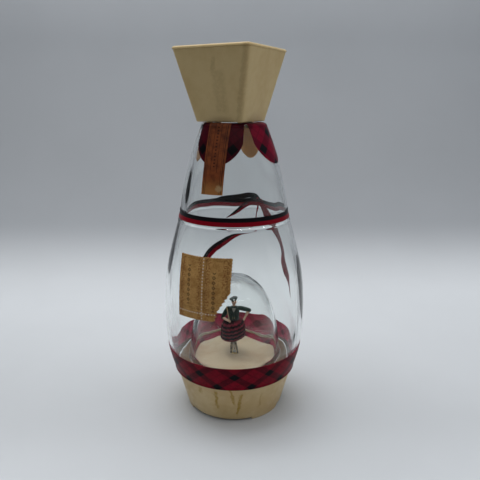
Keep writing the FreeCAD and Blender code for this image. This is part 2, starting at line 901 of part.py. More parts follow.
# Gear teeth
def gear(teeth, module, low, high, tooth_deg, bore):
    """A spur wheel with one tooth centred on tooth_deg, radial flanks and bevelled crests."""
    pitch = module * teeth / 2
    tip = pitch + tooth_tip_share * module
    root = pitch - tooth_root_share * module
    half = tooth_width_share * 180.0 / teeth
    crest = half * tooth_crest_share
    points = []
    for index in range(teeth):
        middle = tooth_deg + 360.0 * index / teeth
        points += [polar(root, middle - half, low), polar(pitch, middle - half, low)]
        points += [polar(tip, middle - crest, low), polar(tip, middle + crest, low)]
        points += [polar(pitch, middle + half, low), polar(root, middle + half, low)]
    body = prism(points, vec(0, 0, high - low))
    return body.cut(rod(bore, low - cut_overrun, high + cut_overrun))


def crown_tooth():
    """A tapered tooth standing on the barrel flange at the +X side, pointing up."""
    wide = tooth_width_share * math.pi * main_module
    crest = wide * tooth_crest_share
    root_z = flange_top_z - barrel_flange / 2
    pitch_z = flange_top_z + tooth_root_share * main_module
    tip_z = pitch_z + tooth_tip_share * main_module
    inner = barrel_pitch_radius - crown_face / 2
    points = [vec(inner, -wide / 2, root_z), vec(inner, wide / 2, root_z), vec(inner, wide / 2, pitch_z)]
    points += [vec(inner, crest / 2, tip_z), vec(inner, -crest / 2, tip_z), vec(inner, -wide / 2, pitch_z)]
    outer = rod(crown_outer_radius, root_z, tip_z)
    return prism(points, vec(crown_face, 0, 0)).common(outer)


# Spring barrel, mainspring, winding arbor, ratchet, click and key
def spring_barrel():
    flange = rod(crown_outer_radius, flange_z, flange_top_z)
    can = ring(can_radius - barrel_can_wall, can_radius, flange_top_z, cover_z)
    tooth = crown_tooth()
    pitch_deg = 360.0 / barrel_teeth
    teeth = [placed(tooth, 270.0 + pitch_deg * (index + 0.5)) for index in range(barrel_teeth)]
    body = flange.multiFuse([can] + teeth).removeSplitter()
    body = body.cut(rod(arbor_radius + running_fit, 0, cap_z))
    return placed(body, 0, barrel_centre())


def barrel_cover():
    wheel = gear(barrel_teeth, main_module, cover_z, cover_top_z, 270.0, arbor_radius + running_fit)
    return placed(wheel, 0, barrel_centre())


def mainspring():
    """A flat strip wound as a spiral from the arbor's hub to the can."""
    outer = can_radius - barrel_can_wall - running_fit
    inner = arbor_radius + spring_gap
    pitch = (outer - inner - spring_strip) / spring_turns
    count = spring_turns * spring_points_per_turn + 1
    low = flange_top_z + spring_gap
    sides = []
    for extra in (0, spring_strip):
        radii = [inner + extra + pitch * index / spring_points_per_turn for index in range(count)]
        degs = [360.0 * index / spring_points_per_turn for index in range(count)]
        sides.append([polar(r, d, low) for r, d in zip(radii, degs)])
    near, far = sides
    edges = [spline(near).toShape(), line(near[-1], far[-1])]
    edges += [spline(far[::-1]).toShape(), line(far[0], near[0])]
    strip = Part.Face(Part.Wire(edges)).extrude(vec(0, 0, cover_z - spring_gap - low))
    return placed(strip, 0, barrel_centre())


def winding_arbor():
    top = bridge_z - seat_gap
    shaft = rod(arbor_radius, key_table_gap + key_thickness, top, barrel_centre())
    return shaft.fuse(rod(pivot_radius, top, bridge_top_z, barrel_centre()))


def ratchet_low():
    return plate_z + (bed_gap - ratchet_thickness) / 2


def ratchet_wheel():
    low = ratchet_low()
    pitch = 360.0 / ratchet_teeth
    points = []
    for index in range(ratchet_teeth):
        points.append(polar(ratchet_radius - ratchet_tooth_depth, pitch * index, low))
        points.append(polar(ratchet_radius, pitch * index, low))
    wheel = prism(points, vec(0, 0, ratchet_thickness))
    wheel = wheel.cut(rod(arbor_radius + running_fit, 0, cap_z))
    return placed(wheel, 0, barrel_centre())


def click_pivot():
    """The click's pivot, beside the ratchet so that its nose just clears the tooth tips."""
    reach = ratchet_radius + click_gap + click_width / 2
    return barrel_centre() + vec(click_length, reach, 0)


def click_pawl():
    pivot = click_pivot()
    nose = pivot - vec(click_length, 0, 0)
    low = ratchet_low()
    body = bar(pivot, nose, click_width, low, low + ratchet_thickness)
    return body.fuse(rod(pivot_radius, low, bed_top_z, pivot))


def winding_key():
    """A butterfly key: a hub on the arbor's end with two thin rounded wings."""
    hub_top = key_recess_depth - seat_gap
    hub = rod(key_hub_radius, key_table_gap, hub_top)
    half = key_span / 2
    wing_z = key_table_gap + key_wing
    side = half - key_wing / 2
    low = [vec(-side, 0, key_table_gap), vec(side, 0, key_table_gap)]
    high = [vec(-side, 0, wing_z), vec(side, 0, wing_z)]
    tips = [vec(-half, 0, (low[0].z + wing_z) / 2), vec(half, 0, (low[0].z + wing_z) / 2)]
    edges = [line(low[0], low[1]), arc(low[1], tips[1], high[1])]
    edges += [line(high[1], high[0]), arc(high[0], tips[0], low[0])]
    wings = Part.Face(Part.Wire(edges)).extrude(vec(0, key_thickness, 0))
    wings.translate(vec(0, -key_thickness / 2, 0))
    key = hub.fuse(wings).removeSplitter()
    key = key.cut(rod(arbor_radius + running_fit, key_table_gap + key_thickness, cap_z))
    return placed(key, 0, barrel_centre())


# Pinned cylinder, brackets and comb
def along_front(shape):
    """Lay a shape modelled along Z so that its axis runs forward from the spindle at cylinder height."""
    copy = shape.copy()
    copy.rotate(ORIGIN, vec(1, 0, 0), 90.0)
    copy.translate(vec(0, 0, cylinder_z))
    return copy


def drum_start():
    return bracket_faces()[0] + bracket_thickness + seat_gap


def comb_pitch():
    return cylinder_length / (comb_teeth + 1)


def music_cylinder():
    start = drum_start()
    end = start + cylinder_length
    drum = ring(cylinder_radius - cylinder_wall, cylinder_radius, start, end)
    cheeks = [ring(pivot_radius, cylinder_radius, start, start + cylinder_wall)]
    cheeks.append(ring(pivot_radius, cylinder_radius, end - cylinder_wall, end))
    pins = []
    for track in range(comb_teeth):
        height = start + comb_pitch() * (track + 1)
        for index in range(pins_per_track):
            turn = 360.0 * (golden_turn_share * (track * pins_per_track + index) + index / pins_per_track)
            foot = polar(cylinder_radius - cylinder_wall / 2, turn, height)
            length = pin_height + cylinder_wall / 2
            pins.append(Part.makeCylinder(pin_radius, length, foot, polar(1, turn)))
    return along_front(drum.multiFuse(cheeks + pins))


def cylinder_arbor():
    """The arbor with its pinion in the crown teeth of the barrel."""
    middle = barrel_pitch_radius - barrel_y
    outer_face = bracket_faces()[1]
    pinion = gear(cylinder_teeth, main_module, middle - crown_face / 2, middle + crown_face / 2, 270.0,
                  pivot_radius / 2)
    shaft = rod(pivot_radius, middle - crown_face / 2, outer_face + bracket_thickness)
    return along_front(pinion.fuse(shaft).removeSplitter())


def cylinder_brackets():
    """Two upright plates with a round crown, each with a foot on the bedplate."""
    brackets = []
    half = bracket_width / 2
    for face in bracket_faces():
        crown = Part.makeCylinder(bracket_top_radius, bracket_thickness, vec(0, -face, cylinder_z), FORWARD)
        post_corner = vec(-bracket_top_radius, -face - bracket_thickness, bed_top_z)
        post = Part.makeBox(2 * bracket_top_radius, bracket_thickness, cylinder_z - bed_top_z, post_corner)
        foot_corner = vec(-half, -face - bracket_thickness, bed_top_z)
        foot = Part.makeBox(bracket_width, bracket_thickness, bracket_top_radius, foot_corner)
        body = foot.multiFuse([post, crown]).removeSplitter()
        bore = Part.makeCylinder(pivot_radius + running_fit, body_radius, vec(0, 0, cylinder_z), FORWARD)
        brackets.append(body.cut(bore))
    return Part.makeCompound(brackets)


def comb_tip_x():
    return cylinder_radius + pin_height + comb_tip_gap


def comb_screw_places():
    back_x = comb_tip_x() + comb_tooth_length + comb_back / 2
    start = drum_start()
    step = cylinder_length / comb_screw_count
    return [vec(back_x, -start - step * (index + 0.5), 0) for index in range(comb_screw_count)]


def music_comb():
    """A steel plate slit into teeth, the bass teeth longer in their slits than the treble ones."""
    tip_x = comb_tip_x()
    root_x = tip_x + comb_tooth_length
    back_x = root_x + comb_back
    low = cylinder_z - comb_thickness / 2
    pitch = comb_pitch()
    first = drum_start() + pitch / 2
    slot = pitch * comb_slot_share
    points = [vec(back_x, -first, low), vec(tip_x, -first, low)]
    for index in range(1, comb_teeth):
        edge = first + pitch * index
        reach = root_x - comb_tooth_length * index / (3 * comb_teeth)
        points += [vec(tip_x, slot / 2 - edge, low), vec(reach, slot / 2 - edge, low)]
        points += [vec(reach, -slot / 2 - edge, low), vec(tip_x, -slot / 2 - edge, low)]
    last = first + pitch * comb_teeth
    points += [vec(tip_x, -last, low), vec(back_x, -last, low)]
    plate = prism(points, vec(0, 0, comb_thickness))
    return plate.cut([rod(comb_screw_radius + running_fit, 0, cap_z, p) for p in comb_screw_places()])


def comb_block():
    pitch = comb_pitch()
    width = pitch * comb_teeth
    high = cylinder_z - comb_thickness / 2
    corner = vec(comb_tip_x() + comb_tooth_length, -drum_start() - pitch / 2 - width, bed_top_z)
    block = Part.makeBox(comb_back, width, high - bed_top_z, corner)
    low = high - comb_screw_depth - seat_gap
    return block.cut([rod(comb_screw_radius, low, cap_z, p) for p in comb_screw_places()])


def comb_screws():
    plate_z_low = cylinder_z - comb_thickness / 2
    plate_z_top = cylinder_z + comb_thickness / 2
    screws = []
    for place in comb_screw_places():
        shank = rod(comb_screw_radius - running_fit, plate_z_low - comb_screw_depth, plate_z_top, place)
        screws.append(shank.fuse(rod(comb_screw_head, plate_z_top, plate_z_top + comb_screw_head, place)))
    return Part.makeCompound(screws)


# Governor and stop plunger
def second_arbor():
    """Arbor with the pinion that the barrel cover drives."""
    gap_deg = second_turn_deg + 180.0 + 180.0 / second_pinion_teeth
    pinion = gear(second_pinion_teeth, main_module, cover_z, cover_top_z, gap_deg, staff_radius / 2)
    staff = rod(staff_radius, bed_z, bridge_top_z)
    return placed(pinion.fuse(staff).removeSplitter(), 0, second_centre())


def second_wheel():
    wheel = gear(second_wheel_teeth, governor_module, wheel_z, wheel_z + gear_width, fly_turn_deg,
                 staff_radius + running_fit)
    return placed(wheel, 0, second_centre())


def fly_arbor():
    gap_deg = fly_turn_deg + 180.0 + 180.0 / fly_teeth
    pinion = gear(fly_teeth, governor_module, wheel_z, wheel_z + gear_width, gap_deg, staff_radius / 2)
    staff = rod(staff_radius, bed_z, bridge_top_z)
    return placed(pinion.fuse(staff).removeSplitter(), 0, fly_centre())


def fly_low():
    return wheel_z - wheel_gap - fly_height


def fly_vanes():
    low = fly_low()
    high = low + fly_height
    corner = vec(-fly_radius, -fly_vane_thickness / 2, low)
    vanes = Part.makeBox(2 * fly_radius, fly_vane_thickness, fly_height, corner)
    hub = rod(fly_hub_radius, low, high)
    body = vanes.fuse(hub).removeSplitter().cut(rod(staff_radius + running_fit, 0, cap_z))
    return placed(body, 0, fly_centre())


def stop_plunger():
    """A pin that the table holds up under the fly; lifted, it drops and frees the fly."""
    centre = plunger_centre()
    top = fly_low() - plunger_gap
    pin = rod(plunger_radius, plunger_table_gap, top, centre)
    return pin.fuse(rod(plunger_head_radius, top - plunger_head, top, centre))


# Dancer
def ball(radius, centre):
    return Part.makeSphere(radius, centre)


def stretched(shape, x, y, z):
    """A shape scaled about the origin along the three axes."""
    matrix = FreeCAD.Matrix()
    matrix.scale(x, y, z)
    return shape.transformGeometry(matrix)


def limb(start, start_radius, end, end_radius):
    """A tapered limb with a round far end."""
    along = end - start
    cone = Part.makeCone(start_radius, end_radius, along.Length, start, along)
    return cone.fuse(ball(end_radius, end))


def faced(shape):
    """Turn a dancer piece from the front plane to the way the dancer faces."""
    return placed(shape, figure_turn_deg)


def spindle_pinion():
    gap_deg = 90.0 + 180.0 / spindle_teeth
    return gear(spindle_teeth, main_module, cover_z, cover_top_z, gap_deg, spindle_radius + running_fit)


kilt_low_z = stage_z + kilt_hem
kilt_top_z = kilt_low_z + kilt_height
shoulder_line_z = kilt_top_z + jacket_height


def dancer_spindle():
    collar_z = stage_z + running_fit
    shaft = rod(spindle_radius, cover_z, collar_z + spindle_collar)
    collar = rod(spindle_collar_radius, collar_z, collar_z + spindle_collar)
    wire = rod(wire_radius, collar_z, kilt_top_z + jacket_socket - seat_gap)
    return shaft.multiFuse([collar, wire]).removeSplitter()


def dancer_legs():
    """Two stockinged legs with pointed shoes, hung from inside the kilt."""
    legs = []
    shoe_z = stage_z + figure_lift + shoe_height / 2
    for side in (-1, 1):
        ankle = vec(side * foot_spread, -leg_front, shoe_z)
        hip = vec(side * hip_spread, -leg_front, kilt_top_z - kilt_waist)
        knee = vec(side * knee_spread, -leg_front, shoe_z + (hip.z - shoe_z) * knee_share)
        calf = ankle + (knee - ankle) * calf_share
        leg = limb(calf, calf_radius, ankle, ankle_radius)
        leg = leg.multiFuse([limb(knee, ankle_radius, calf, calf_radius)])
        thigh = Part.makeCone(ankle_radius, thigh_radius, (hip - knee).Length, knee, hip - knee)
        shoe = stretched(ball(1, ORIGIN), shoe_width / 2, shoe_length / 2, shoe_height / 2)
        shoe.translate(ankle + FORWARD * (shoe_length / 4))
        leg = leg.multiFuse([thigh, shoe])
        keep = rod(kilt_hip_radius, stage_z, kilt_top_z - kilt_waist)
        legs.append(leg.common(keep))
    return faced(Part.makeCompound(legs))


def pleated_wire(radius, height):
    """A closed zigzag of pleats round a circle."""
    points = []
    for index in range(kilt_pleats):
        turn = 360.0 * index / kilt_pleats
        points.append(polar(radius, turn, height))
        points.append(polar(radius - kilt_pleat_depth, turn + 180.0 / kilt_pleats, height))
    return Part.Wire(chain(points + points[:1]))


def dancer_kilt():
    hip_z = kilt_low_z + kilt_height * kilt_hip_share
    levels = ((kilt_hem_radius, kilt_low_z), (kilt_hip_radius, hip_z), (kilt_waist_radius, kilt_top_z))
    outer = Part.makeLoft([pleated_wire(radius, height) for radius, height in levels], True, True)
    inset = kilt_pleat_depth + kilt_cloth
    top = kilt_top_z - kilt_waist
    inner = [rz(0, kilt_low_z - cut_overrun), rz(kilt_hem_radius - inset, kilt_low_z - cut_overrun)]
    inner += [rz(kilt_hip_radius - inset, hip_z), rz(kilt_waist_radius - inset, top), rz(0, top)]
    wire_hole = rod(wire_radius + running_fit, 0, cap_z)
    return faced(outer.cut([turned_points(inner), wire_hole]))


def jacket_solid():
    waist = rz(jacket_waist_radius, 0)
    radii = (jacket_chest_radius, jacket_shoulder_radius, jacket_neck_radius)
    side = [waist] + [rz(r, jacket_height * h) for r, h in zip(radii, jacket_height_shares)]
    edges = [line(rz(0, 0), waist), spline(side).toShape()]
    edges += [line(side[-1], rz(0, jacket_height)), line(rz(0, jacket_height), rz(0, 0))]
    body = stretched(turned(edges), 1, jacket_depth_share, 1)
    body.translate(vec(0, 0, kilt_top_z))
    return body


def dancer_jacket():
    socket = rod(wire_radius + running_fit, 0, kilt_top_z + jacket_socket)
    return faced(jacket_solid().cut(socket))


def stick_centre():
    return vec(-raised_hand_out, -raised_hand_front, 0)


def stick_solid():
    hand_z = shoulder_line_z - raised_hand_drop
    low = hand_z - stick_below
    stick = rod(stick_radius, low, low + stick_length, stick_centre())
    stick.rotate(stick_centre() + vec(0, 0, hand_z), BACK, stick_lean_deg)
    return stick


def arm_trimmed(arm):
    """An arm cut flat where it meets the jacket's side and the top of the kilt."""
    side = jacket_shoulder_radius + 2 * seat_gap
    middle_z = kilt_top_z + jacket_height / 2
    chest = Part.makeBox(2 * side, 2 * side, jacket_height, vec(-side, -side, middle_z))
    above = rod(body_radius, kilt_top_z + running_fit, cap_z)
    return arm.cut(chest).common(above)


def dancer_arm_akimbo():
    shoulder = vec(jacket_shoulder_radius, 0, kilt_top_z + jacket_height * jacket_height_shares[1])
    elbow = vec(elbow_out, 0, shoulder_line_z - elbow_drop)
    hand = vec(akimbo_hand_out, -akimbo_hand_front, shoulder_line_z - akimbo_hand_drop)
    arm = limb(shoulder, sleeve_root_radius, elbow, sleeve_radius)
    arm = arm.multiFuse([limb(elbow, sleeve_radius, hand, cuff_radius), ball(hand_radius, hand)])
    return faced(arm_trimmed(arm))


def dancer_arm_raised():
    shoulder = vec(-jacket_shoulder_radius, 0, kilt_top_z + jacket_height * jacket_height_shares[1])
    elbow = vec(-raised_elbow_out, 0, shoulder_line_z - raised_elbow_drop)
    hand = stick_centre() + vec(0, 0, shoulder_line_z - raised_hand_drop)
    arm = limb(shoulder, sleeve_root_radius, elbow, sleeve_radius)
    arm = arm.multiFuse([limb(elbow, sleeve_radius, hand, cuff_radius), ball(hand_radius, hand)])
    return faced(arm_trimmed(arm).cut(stick_solid()))


def dancer_stick():
    return faced(stick_solid())


def dancer_head():
    """A plain ovoid head on a short neck, with a small nose and ears, cut flat where the hat sits."""
    chin_z = shoulder_line_z + neck_stub
    height = head_height - neck_stub
    middle = vec(0, 0, chin_z + height / 2)
    half_width = head_radius * head_width_share
    skull = stretched(ball(1, ORIGIN), half_width, head_radius, height / 2)
    skull.translate(middle)
    neck = rod(neck_stub_radius, shoulder_line_z, middle.z)
    nose_foot = middle + vec(0, -half_width, -nose_width)
    nose = Part.makeCone(nose_width, nose_width * nose_bridge_share, nose_height, nose_foot, NOSE_SLOPE)
    ears = []
    for side in (-1, 1):
        ear = stretched(ball(1, ORIGIN), ear_depth, ear_width, ear_height)
        ear.translate(middle + vec(side * half_width, 0, 0))
        ears.append(ear)
    head = skull.multiFuse([neck, nose] + ears)
    top = rod(body_radius, brow_z(), cap_z)
    top.rotate(vec(0, 0, brow_z()), BACK, hat_tilt_deg)
    return faced(head.cut(top))


def brow_z():
    return shoulder_line_z + head_height * brow_share


def dancer_hat():
    """A flat cloth bonnet: a headband, a wide soft crown and a pompom."""
    crown = stretched(ball(1, ORIGIN), hat_radius, hat_radius, hat_height * hat_crown_share)
    crown.translate(vec(0, 0, hat_height * hat_band_share))
    band = rod(head_radius, 0, hat_height * hat_band_share)
    crest = hat_height * (hat_band_share + hat_crown_share)
    pompom = ball(hat_pompom_radius, vec(0, 0, crest))
    hat = crown.multiFuse([band, pompom])
    hat.rotate(ORIGIN, BACK, hat_tilt_deg)
    hat.translate(vec(0, 0, brow_z()))
    return faced(hat)


NODES = {
    "glass_bottle": glass_bottle, "tartan_band": tartan_band, "black_belt": black_belt,
    "red_belt": red_belt, "tartan_collar": tartan_collar, "neck_seal_strip": neck_seal_strip,
    "body_stamp": body_stamp, "cap_shell": cap_shell, "cap_top_plate": cap_top_plate,
    "lip_gasket": lip_gasket, "stopper_cork": stopper_cork, "base_cup": base_cup,
    "stage_plate": stage_plate, "spindle_bush": spindle_bush, "glass_gasket": glass_gasket,
    "bottom_plate": bottom_plate, "bottom_plate_screws": bottom_plate_screws,
    "movement_screws": movement_screws, "movement_bedplate": movement_bedplate,
    "bridge_pillars": bridge_pillars, "train_bridge": train_bridge, "spring_barrel": spring_barrel,
    "barrel_cover": barrel_cover, "mainspring": mainspring, "winding_arbor": winding_arbor,
    "ratchet_wheel": ratchet_wheel, "click_pawl": click_pawl, "winding_key": winding_key,
    "music_cylinder": music_cylinder, "cylinder_arbor": cylinder_arbor,
    "cylinder_brackets": cylinder_brackets, "music_comb": music_comb, "comb_block": comb_block,
    "comb_screws": comb_screws, "second_arbor": second_arbor, "second_wheel": second_wheel,
    "fly_arbor": fly_arbor, "fly_vanes": fly_vanes, "stop_plunger": stop_plunger,
    "dancer_spindle": dancer_spindle, "spindle_pinion": spindle_pinion, "dancer_legs": dancer_legs,
    "dancer_kilt": dancer_kilt, "dancer_jacket": dancer_jacket, "dancer_head": dancer_head,
    "dancer_hat": dancer_hat, "dancer_arm_akimbo": dancer_arm_akimbo,
    "dancer_arm_raised": dancer_arm_raised, "dancer_stick": dancer_stick,
}

os.makedirs("parts", exist_ok=True)
for node_name, make_node in NODES.items():
    node_shape = make_node()
    save(node_name, node_shape)
    print(node_name, len(node_shape.Solids), round(node_shape.Volume, 1), node_shape.isValid())
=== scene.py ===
# %% [markdown]
# A musical decanter, dressed for the camera. The frame is the CAD model: a blown glass bottle that stands
# on a plastic cup with a wind-up movement in it, a square stopper cap, and a small dancer who turns under
# a glass dome. This lesson keeps that frame and gives each piece its skin. Every new shape is a grid of
# points worked out with numpy: one direction runs along a profile, the other runs round or across.

import json
import math

import bpy
import numpy as np
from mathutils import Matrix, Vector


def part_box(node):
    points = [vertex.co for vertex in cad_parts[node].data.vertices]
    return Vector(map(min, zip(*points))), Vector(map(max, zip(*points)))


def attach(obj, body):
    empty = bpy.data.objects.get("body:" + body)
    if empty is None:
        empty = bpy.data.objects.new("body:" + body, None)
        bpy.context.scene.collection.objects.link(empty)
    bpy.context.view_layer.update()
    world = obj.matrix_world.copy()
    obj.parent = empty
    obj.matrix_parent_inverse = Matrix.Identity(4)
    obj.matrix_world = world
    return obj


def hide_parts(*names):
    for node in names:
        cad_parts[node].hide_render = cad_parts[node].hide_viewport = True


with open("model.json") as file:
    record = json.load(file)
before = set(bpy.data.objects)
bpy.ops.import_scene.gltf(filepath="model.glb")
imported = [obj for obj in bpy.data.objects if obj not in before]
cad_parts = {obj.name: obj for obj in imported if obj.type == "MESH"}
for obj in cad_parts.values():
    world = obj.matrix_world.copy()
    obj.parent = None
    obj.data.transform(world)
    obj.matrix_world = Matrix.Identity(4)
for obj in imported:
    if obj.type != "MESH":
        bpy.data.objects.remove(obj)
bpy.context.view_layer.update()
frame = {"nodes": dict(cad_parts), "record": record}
MM = 0.001

# %% [markdown]
# From a grid to a mesh. A lathe, a cushion and a folded sheet are all rows and columns of points. The
# faces can be found by shifting the grid of point numbers by one, so no loop over points is needed. A row
# that shrinks to one point is a pole, and there the quads become triangles. A closed shape with a negative
# volume is inside out, and gets its faces turned round.

# %% Grid to closed skin
def cells(index):
    """Quads of a grid of point numbers: a point, its right neighbour, and the two after them."""
    return np.stack([index[:-1, :-1], index[:-1, 1:], index[1:, 1:], index[1:, :-1]], axis=-1).reshape(-1, 4)


def skin(grid, ring=True, loop=False, poles=(False, False)):
    """Points and faces of a grid of rows and columns. ring closes the columns, loop closes the rows, and
    poles shrink the first or last row to a point. Volume = sum of a . (b x c) over triangles, kept > 0."""
    rows, columns = grid.shape[:2]
    index = np.arange(rows * columns).reshape(rows, columns)
    if poles[0]:
        index[0] = index[0, 0]
    if poles[1]:
        index[-1] = index[-1, 0]
    used, place = np.unique(index, return_inverse=True)
    index = place.reshape(rows, columns)
    points = grid.reshape(-1, 3)[used]
    if ring:
        index = np.hstack([index, index[:, :1]])
    if loop:
        index = np.vstack([index, index[:1]])
    quads = cells(index)
    low = quads[:, 0] == quads[:, 1]
    high = quads[:, 2] == quads[:, 3]
    triangles = np.vstack([quads[low][:, 1:], quads[high][:, :3]])
    return outward(points, quads[~(low | high)], triangles)


def outward(points, quads, triangles):
    """The same faces, turned round if the volume that they close is negative."""
    halves = np.vstack([quads[:, [0, 1, 2]], quads[:, [0, 2, 3]], triangles])
    a, b, c = points[halves[:, 0]], points[halves[:, 1]], points[halves[:, 2]]
    if np.einsum("ij,ij->i", a, np.cross(b, c)).sum() < 0:
        quads = quads[:, ::-1]
        triangles = triangles[:, ::-1]
    return points, quads, triangles


def slab(front, back):
    """A closed thin sheet: the faces of the front, those of the back turned round, and a rim of quads
    between the two borders."""
    points = np.concatenate([front.reshape(-1, 3), back.reshape(-1, 3)])
    rows, columns = front.shape[:2]
    count = rows * columns
    near = np.arange(count).reshape(rows, columns)
    faces = cells(near)
    rim = np.concatenate([near[0, :], near[1:, -1], near[-1, -2::-1], near[-2:0:-1, 0]])
    step = np.roll(rim, -1)
    sides = np.stack([step, rim, rim + count, step + count], axis=-1)
    return outward(points, np.vstack([faces, faces[:, ::-1] + count, sides]), np.zeros((0, 3), int))


# %% Skins to an object on a body
def make(name, skins, material, body, nodes=(), sheet=None, crease_deg=42.0):
    """Join closed skins, in millimetres, into one object that rides on a body and stands for CAD nodes."""
    starts = np.cumsum([0] + [len(points) for points, _, _ in skins])
    faces = []
    for start, (_, quads, triangles) in zip(starts, skins):
        faces += (quads + start).tolist() + (triangles + start).tolist()
    mesh = bpy.data.meshes.new(name)
    mesh.from_pydata((np.vstack([points for points, _, _ in skins]) * MM).tolist(), [], faces)
    mesh.shade_smooth()
    mesh.set_sharp_from_angle(angle=math.radians(crease_deg))
    if sheet is not None:
        corner = np.empty(len(mesh.loops), np.int32)
        mesh.loops.foreach_get("vertex_index", corner)
        layer = mesh.uv_layers.new(name="sheet")
        layer.data.foreach_set("uv", sheet[corner].astype(np.float32).ravel())
    mesh.materials.append(material)
    piece = bpy.data.objects.new(name, mesh)
    bpy.context.scene.collection.objects.link(piece)
    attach(piece, body)
    if nodes:
        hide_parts(*nodes)
    print(name, len(mesh.polygons), "faces, rides on", body)
    return piece


# %% [markdown]
# Outlines. A bottle is drawn as a draughtsman draws it: a few points that matter, joined by a smooth
# spline, with quarter bends at the corners. An offset of the same line gives the inner wall and the paper
# that lies on the glass, so the trim can't float or sink.

# %% Lines in the plane of radius and height
def smooth_line(points, count, start=None, end=None):
    """A cubic spline through points, with chord length as its parameter, read at even steps. The second
    derivatives solve the usual tridiagonal system. An end without a direction takes that of a parabola
    through the three points nearest to it."""
    points = np.asarray(points, float)
    gaps = np.linalg.norm(np.diff(points, axis=0), axis=1)
    slopes = np.diff(points, axis=0) / gaps[:, None]
    turn = np.diff(slopes, axis=0)
    if start is None:
        start = slopes[0] - turn[0] * gaps[0] / (gaps[0] + gaps[1])
    if end is None:
        end = slopes[-1] + turn[-1] * gaps[-1] / (gaps[-1] + gaps[-2])
    size = len(points)
    inner = np.arange(1, size - 1)
    system = np.zeros((size, size))
    system[inner, inner - 1] = gaps[:-1]
    system[inner, inner] = 2 * (gaps[:-1] + gaps[1:])
    system[inner, inner + 1] = gaps[1:]
    system[0, :2] = 2 * gaps[0], gaps[0]
    system[-1, -2:] = gaps[-1], 2 * gaps[-1]
    bends = np.vstack([slopes[0] - start, turn, np.asarray(end) - slopes[-1]]) * 6
    bends = np.linalg.solve(system, bends)
    knots = np.concatenate([[0.0], np.cumsum(gaps)])
    at = np.linspace(0, knots[-1], count)
    k = np.clip(np.searchsorted(knots, at, side="right") - 1, 0, size - 2)
    span = gaps[k][:, None]
    a = (knots[k + 1] - at)[:, None] / span
    b = 1 - a
    curve = (a ** 3 - a) * bends[k] + (b ** 3 - b) * bends[k + 1]
    return a * points[k] + b * points[k + 1] + curve * span ** 2 / 6


def quarter(start, end, out_first, count=8):
    """A quarter of an ellipse between two points, leaving along the radius or along the height."""
    turn = np.linspace(0, math.pi / 2, count)
    early, late = np.sin(turn), 1 - np.cos(turn)
    shares = np.stack([early, late] if out_first else [late, early], axis=-1)
    return np.asarray(start) + (np.asarray(end) - np.asarray(start)) * shares


def unit(rows):
    """Each row divided by its length."""
    return rows / np.linalg.norm(rows, axis=-1, keepdims=True)


def offset(line, distance):
    """The line moved sideways: each point plus distance times the tangent turned a quarter clockwise."""
    tangent = unit(np.gradient(line, axis=0))
    return line + distance * np.stack([tangent[:, 1], -tangent[:, 0]], axis=-1)


def joined(*lines):
    """Lines end to end, without the points that they share."""
    line = np.vstack([np.atleast_2d(part) for part in lines])
    step = np.linalg.norm(np.diff(line, axis=0), axis=1)
    return line[np.concatenate([[True], step > 1e-6])]


def even(line, low, high, count):
    """Points of a rising line between two heights, at even heights, read by straight interpolation."""
    height = np.linspace(low, high, count)
    return np.stack([np.interp(height, line[:, 1], line[:, 0]), height], axis=-1)


def run_lengths(line):
    """How far along the line each of its points is."""
    return np.concatenate([[0], np.cumsum(np.linalg.norm(np.diff(line, axis=0), axis=1))])


def round_turns(columns):
    """Even turns once round, without the last one, which is the first again."""
    return np.linspace(0, 2 * math.pi, columns, endpoint=False)


def ring_points(radius, turn, height, depth=1.0):
    """Points at a radius, a turn and a height: x = r cos t, y = depth r sin t, z = h."""
    x, y = radius * np.cos(turn), depth * radius * np.sin(turn)
    return np.stack(np.broadcast_arrays(x, y, height), axis=-1)


def lathe(line, columns=192):
    """Turn a line of (radius, height) about the axis."""
    return ring_points(line[:, :1], round_turns(columns), line[:, 1:])


# %% [markdown]
# Finishes are node trees. A tree is easier to read when each node is one short call, so a small helper
# adds a node, sets its plain values and links the sockets that it is given. Object coordinates are turned
# into millimetres once, because the marks on the object are known in millimetres.

# %% Short calls for shader nodes
def set_plain(socket, value):
    """Set a socket's own value. A colour has three numbers here, and is opaque."""
    socket.default_value = (*value, 1) if socket.type == "RGBA" else value


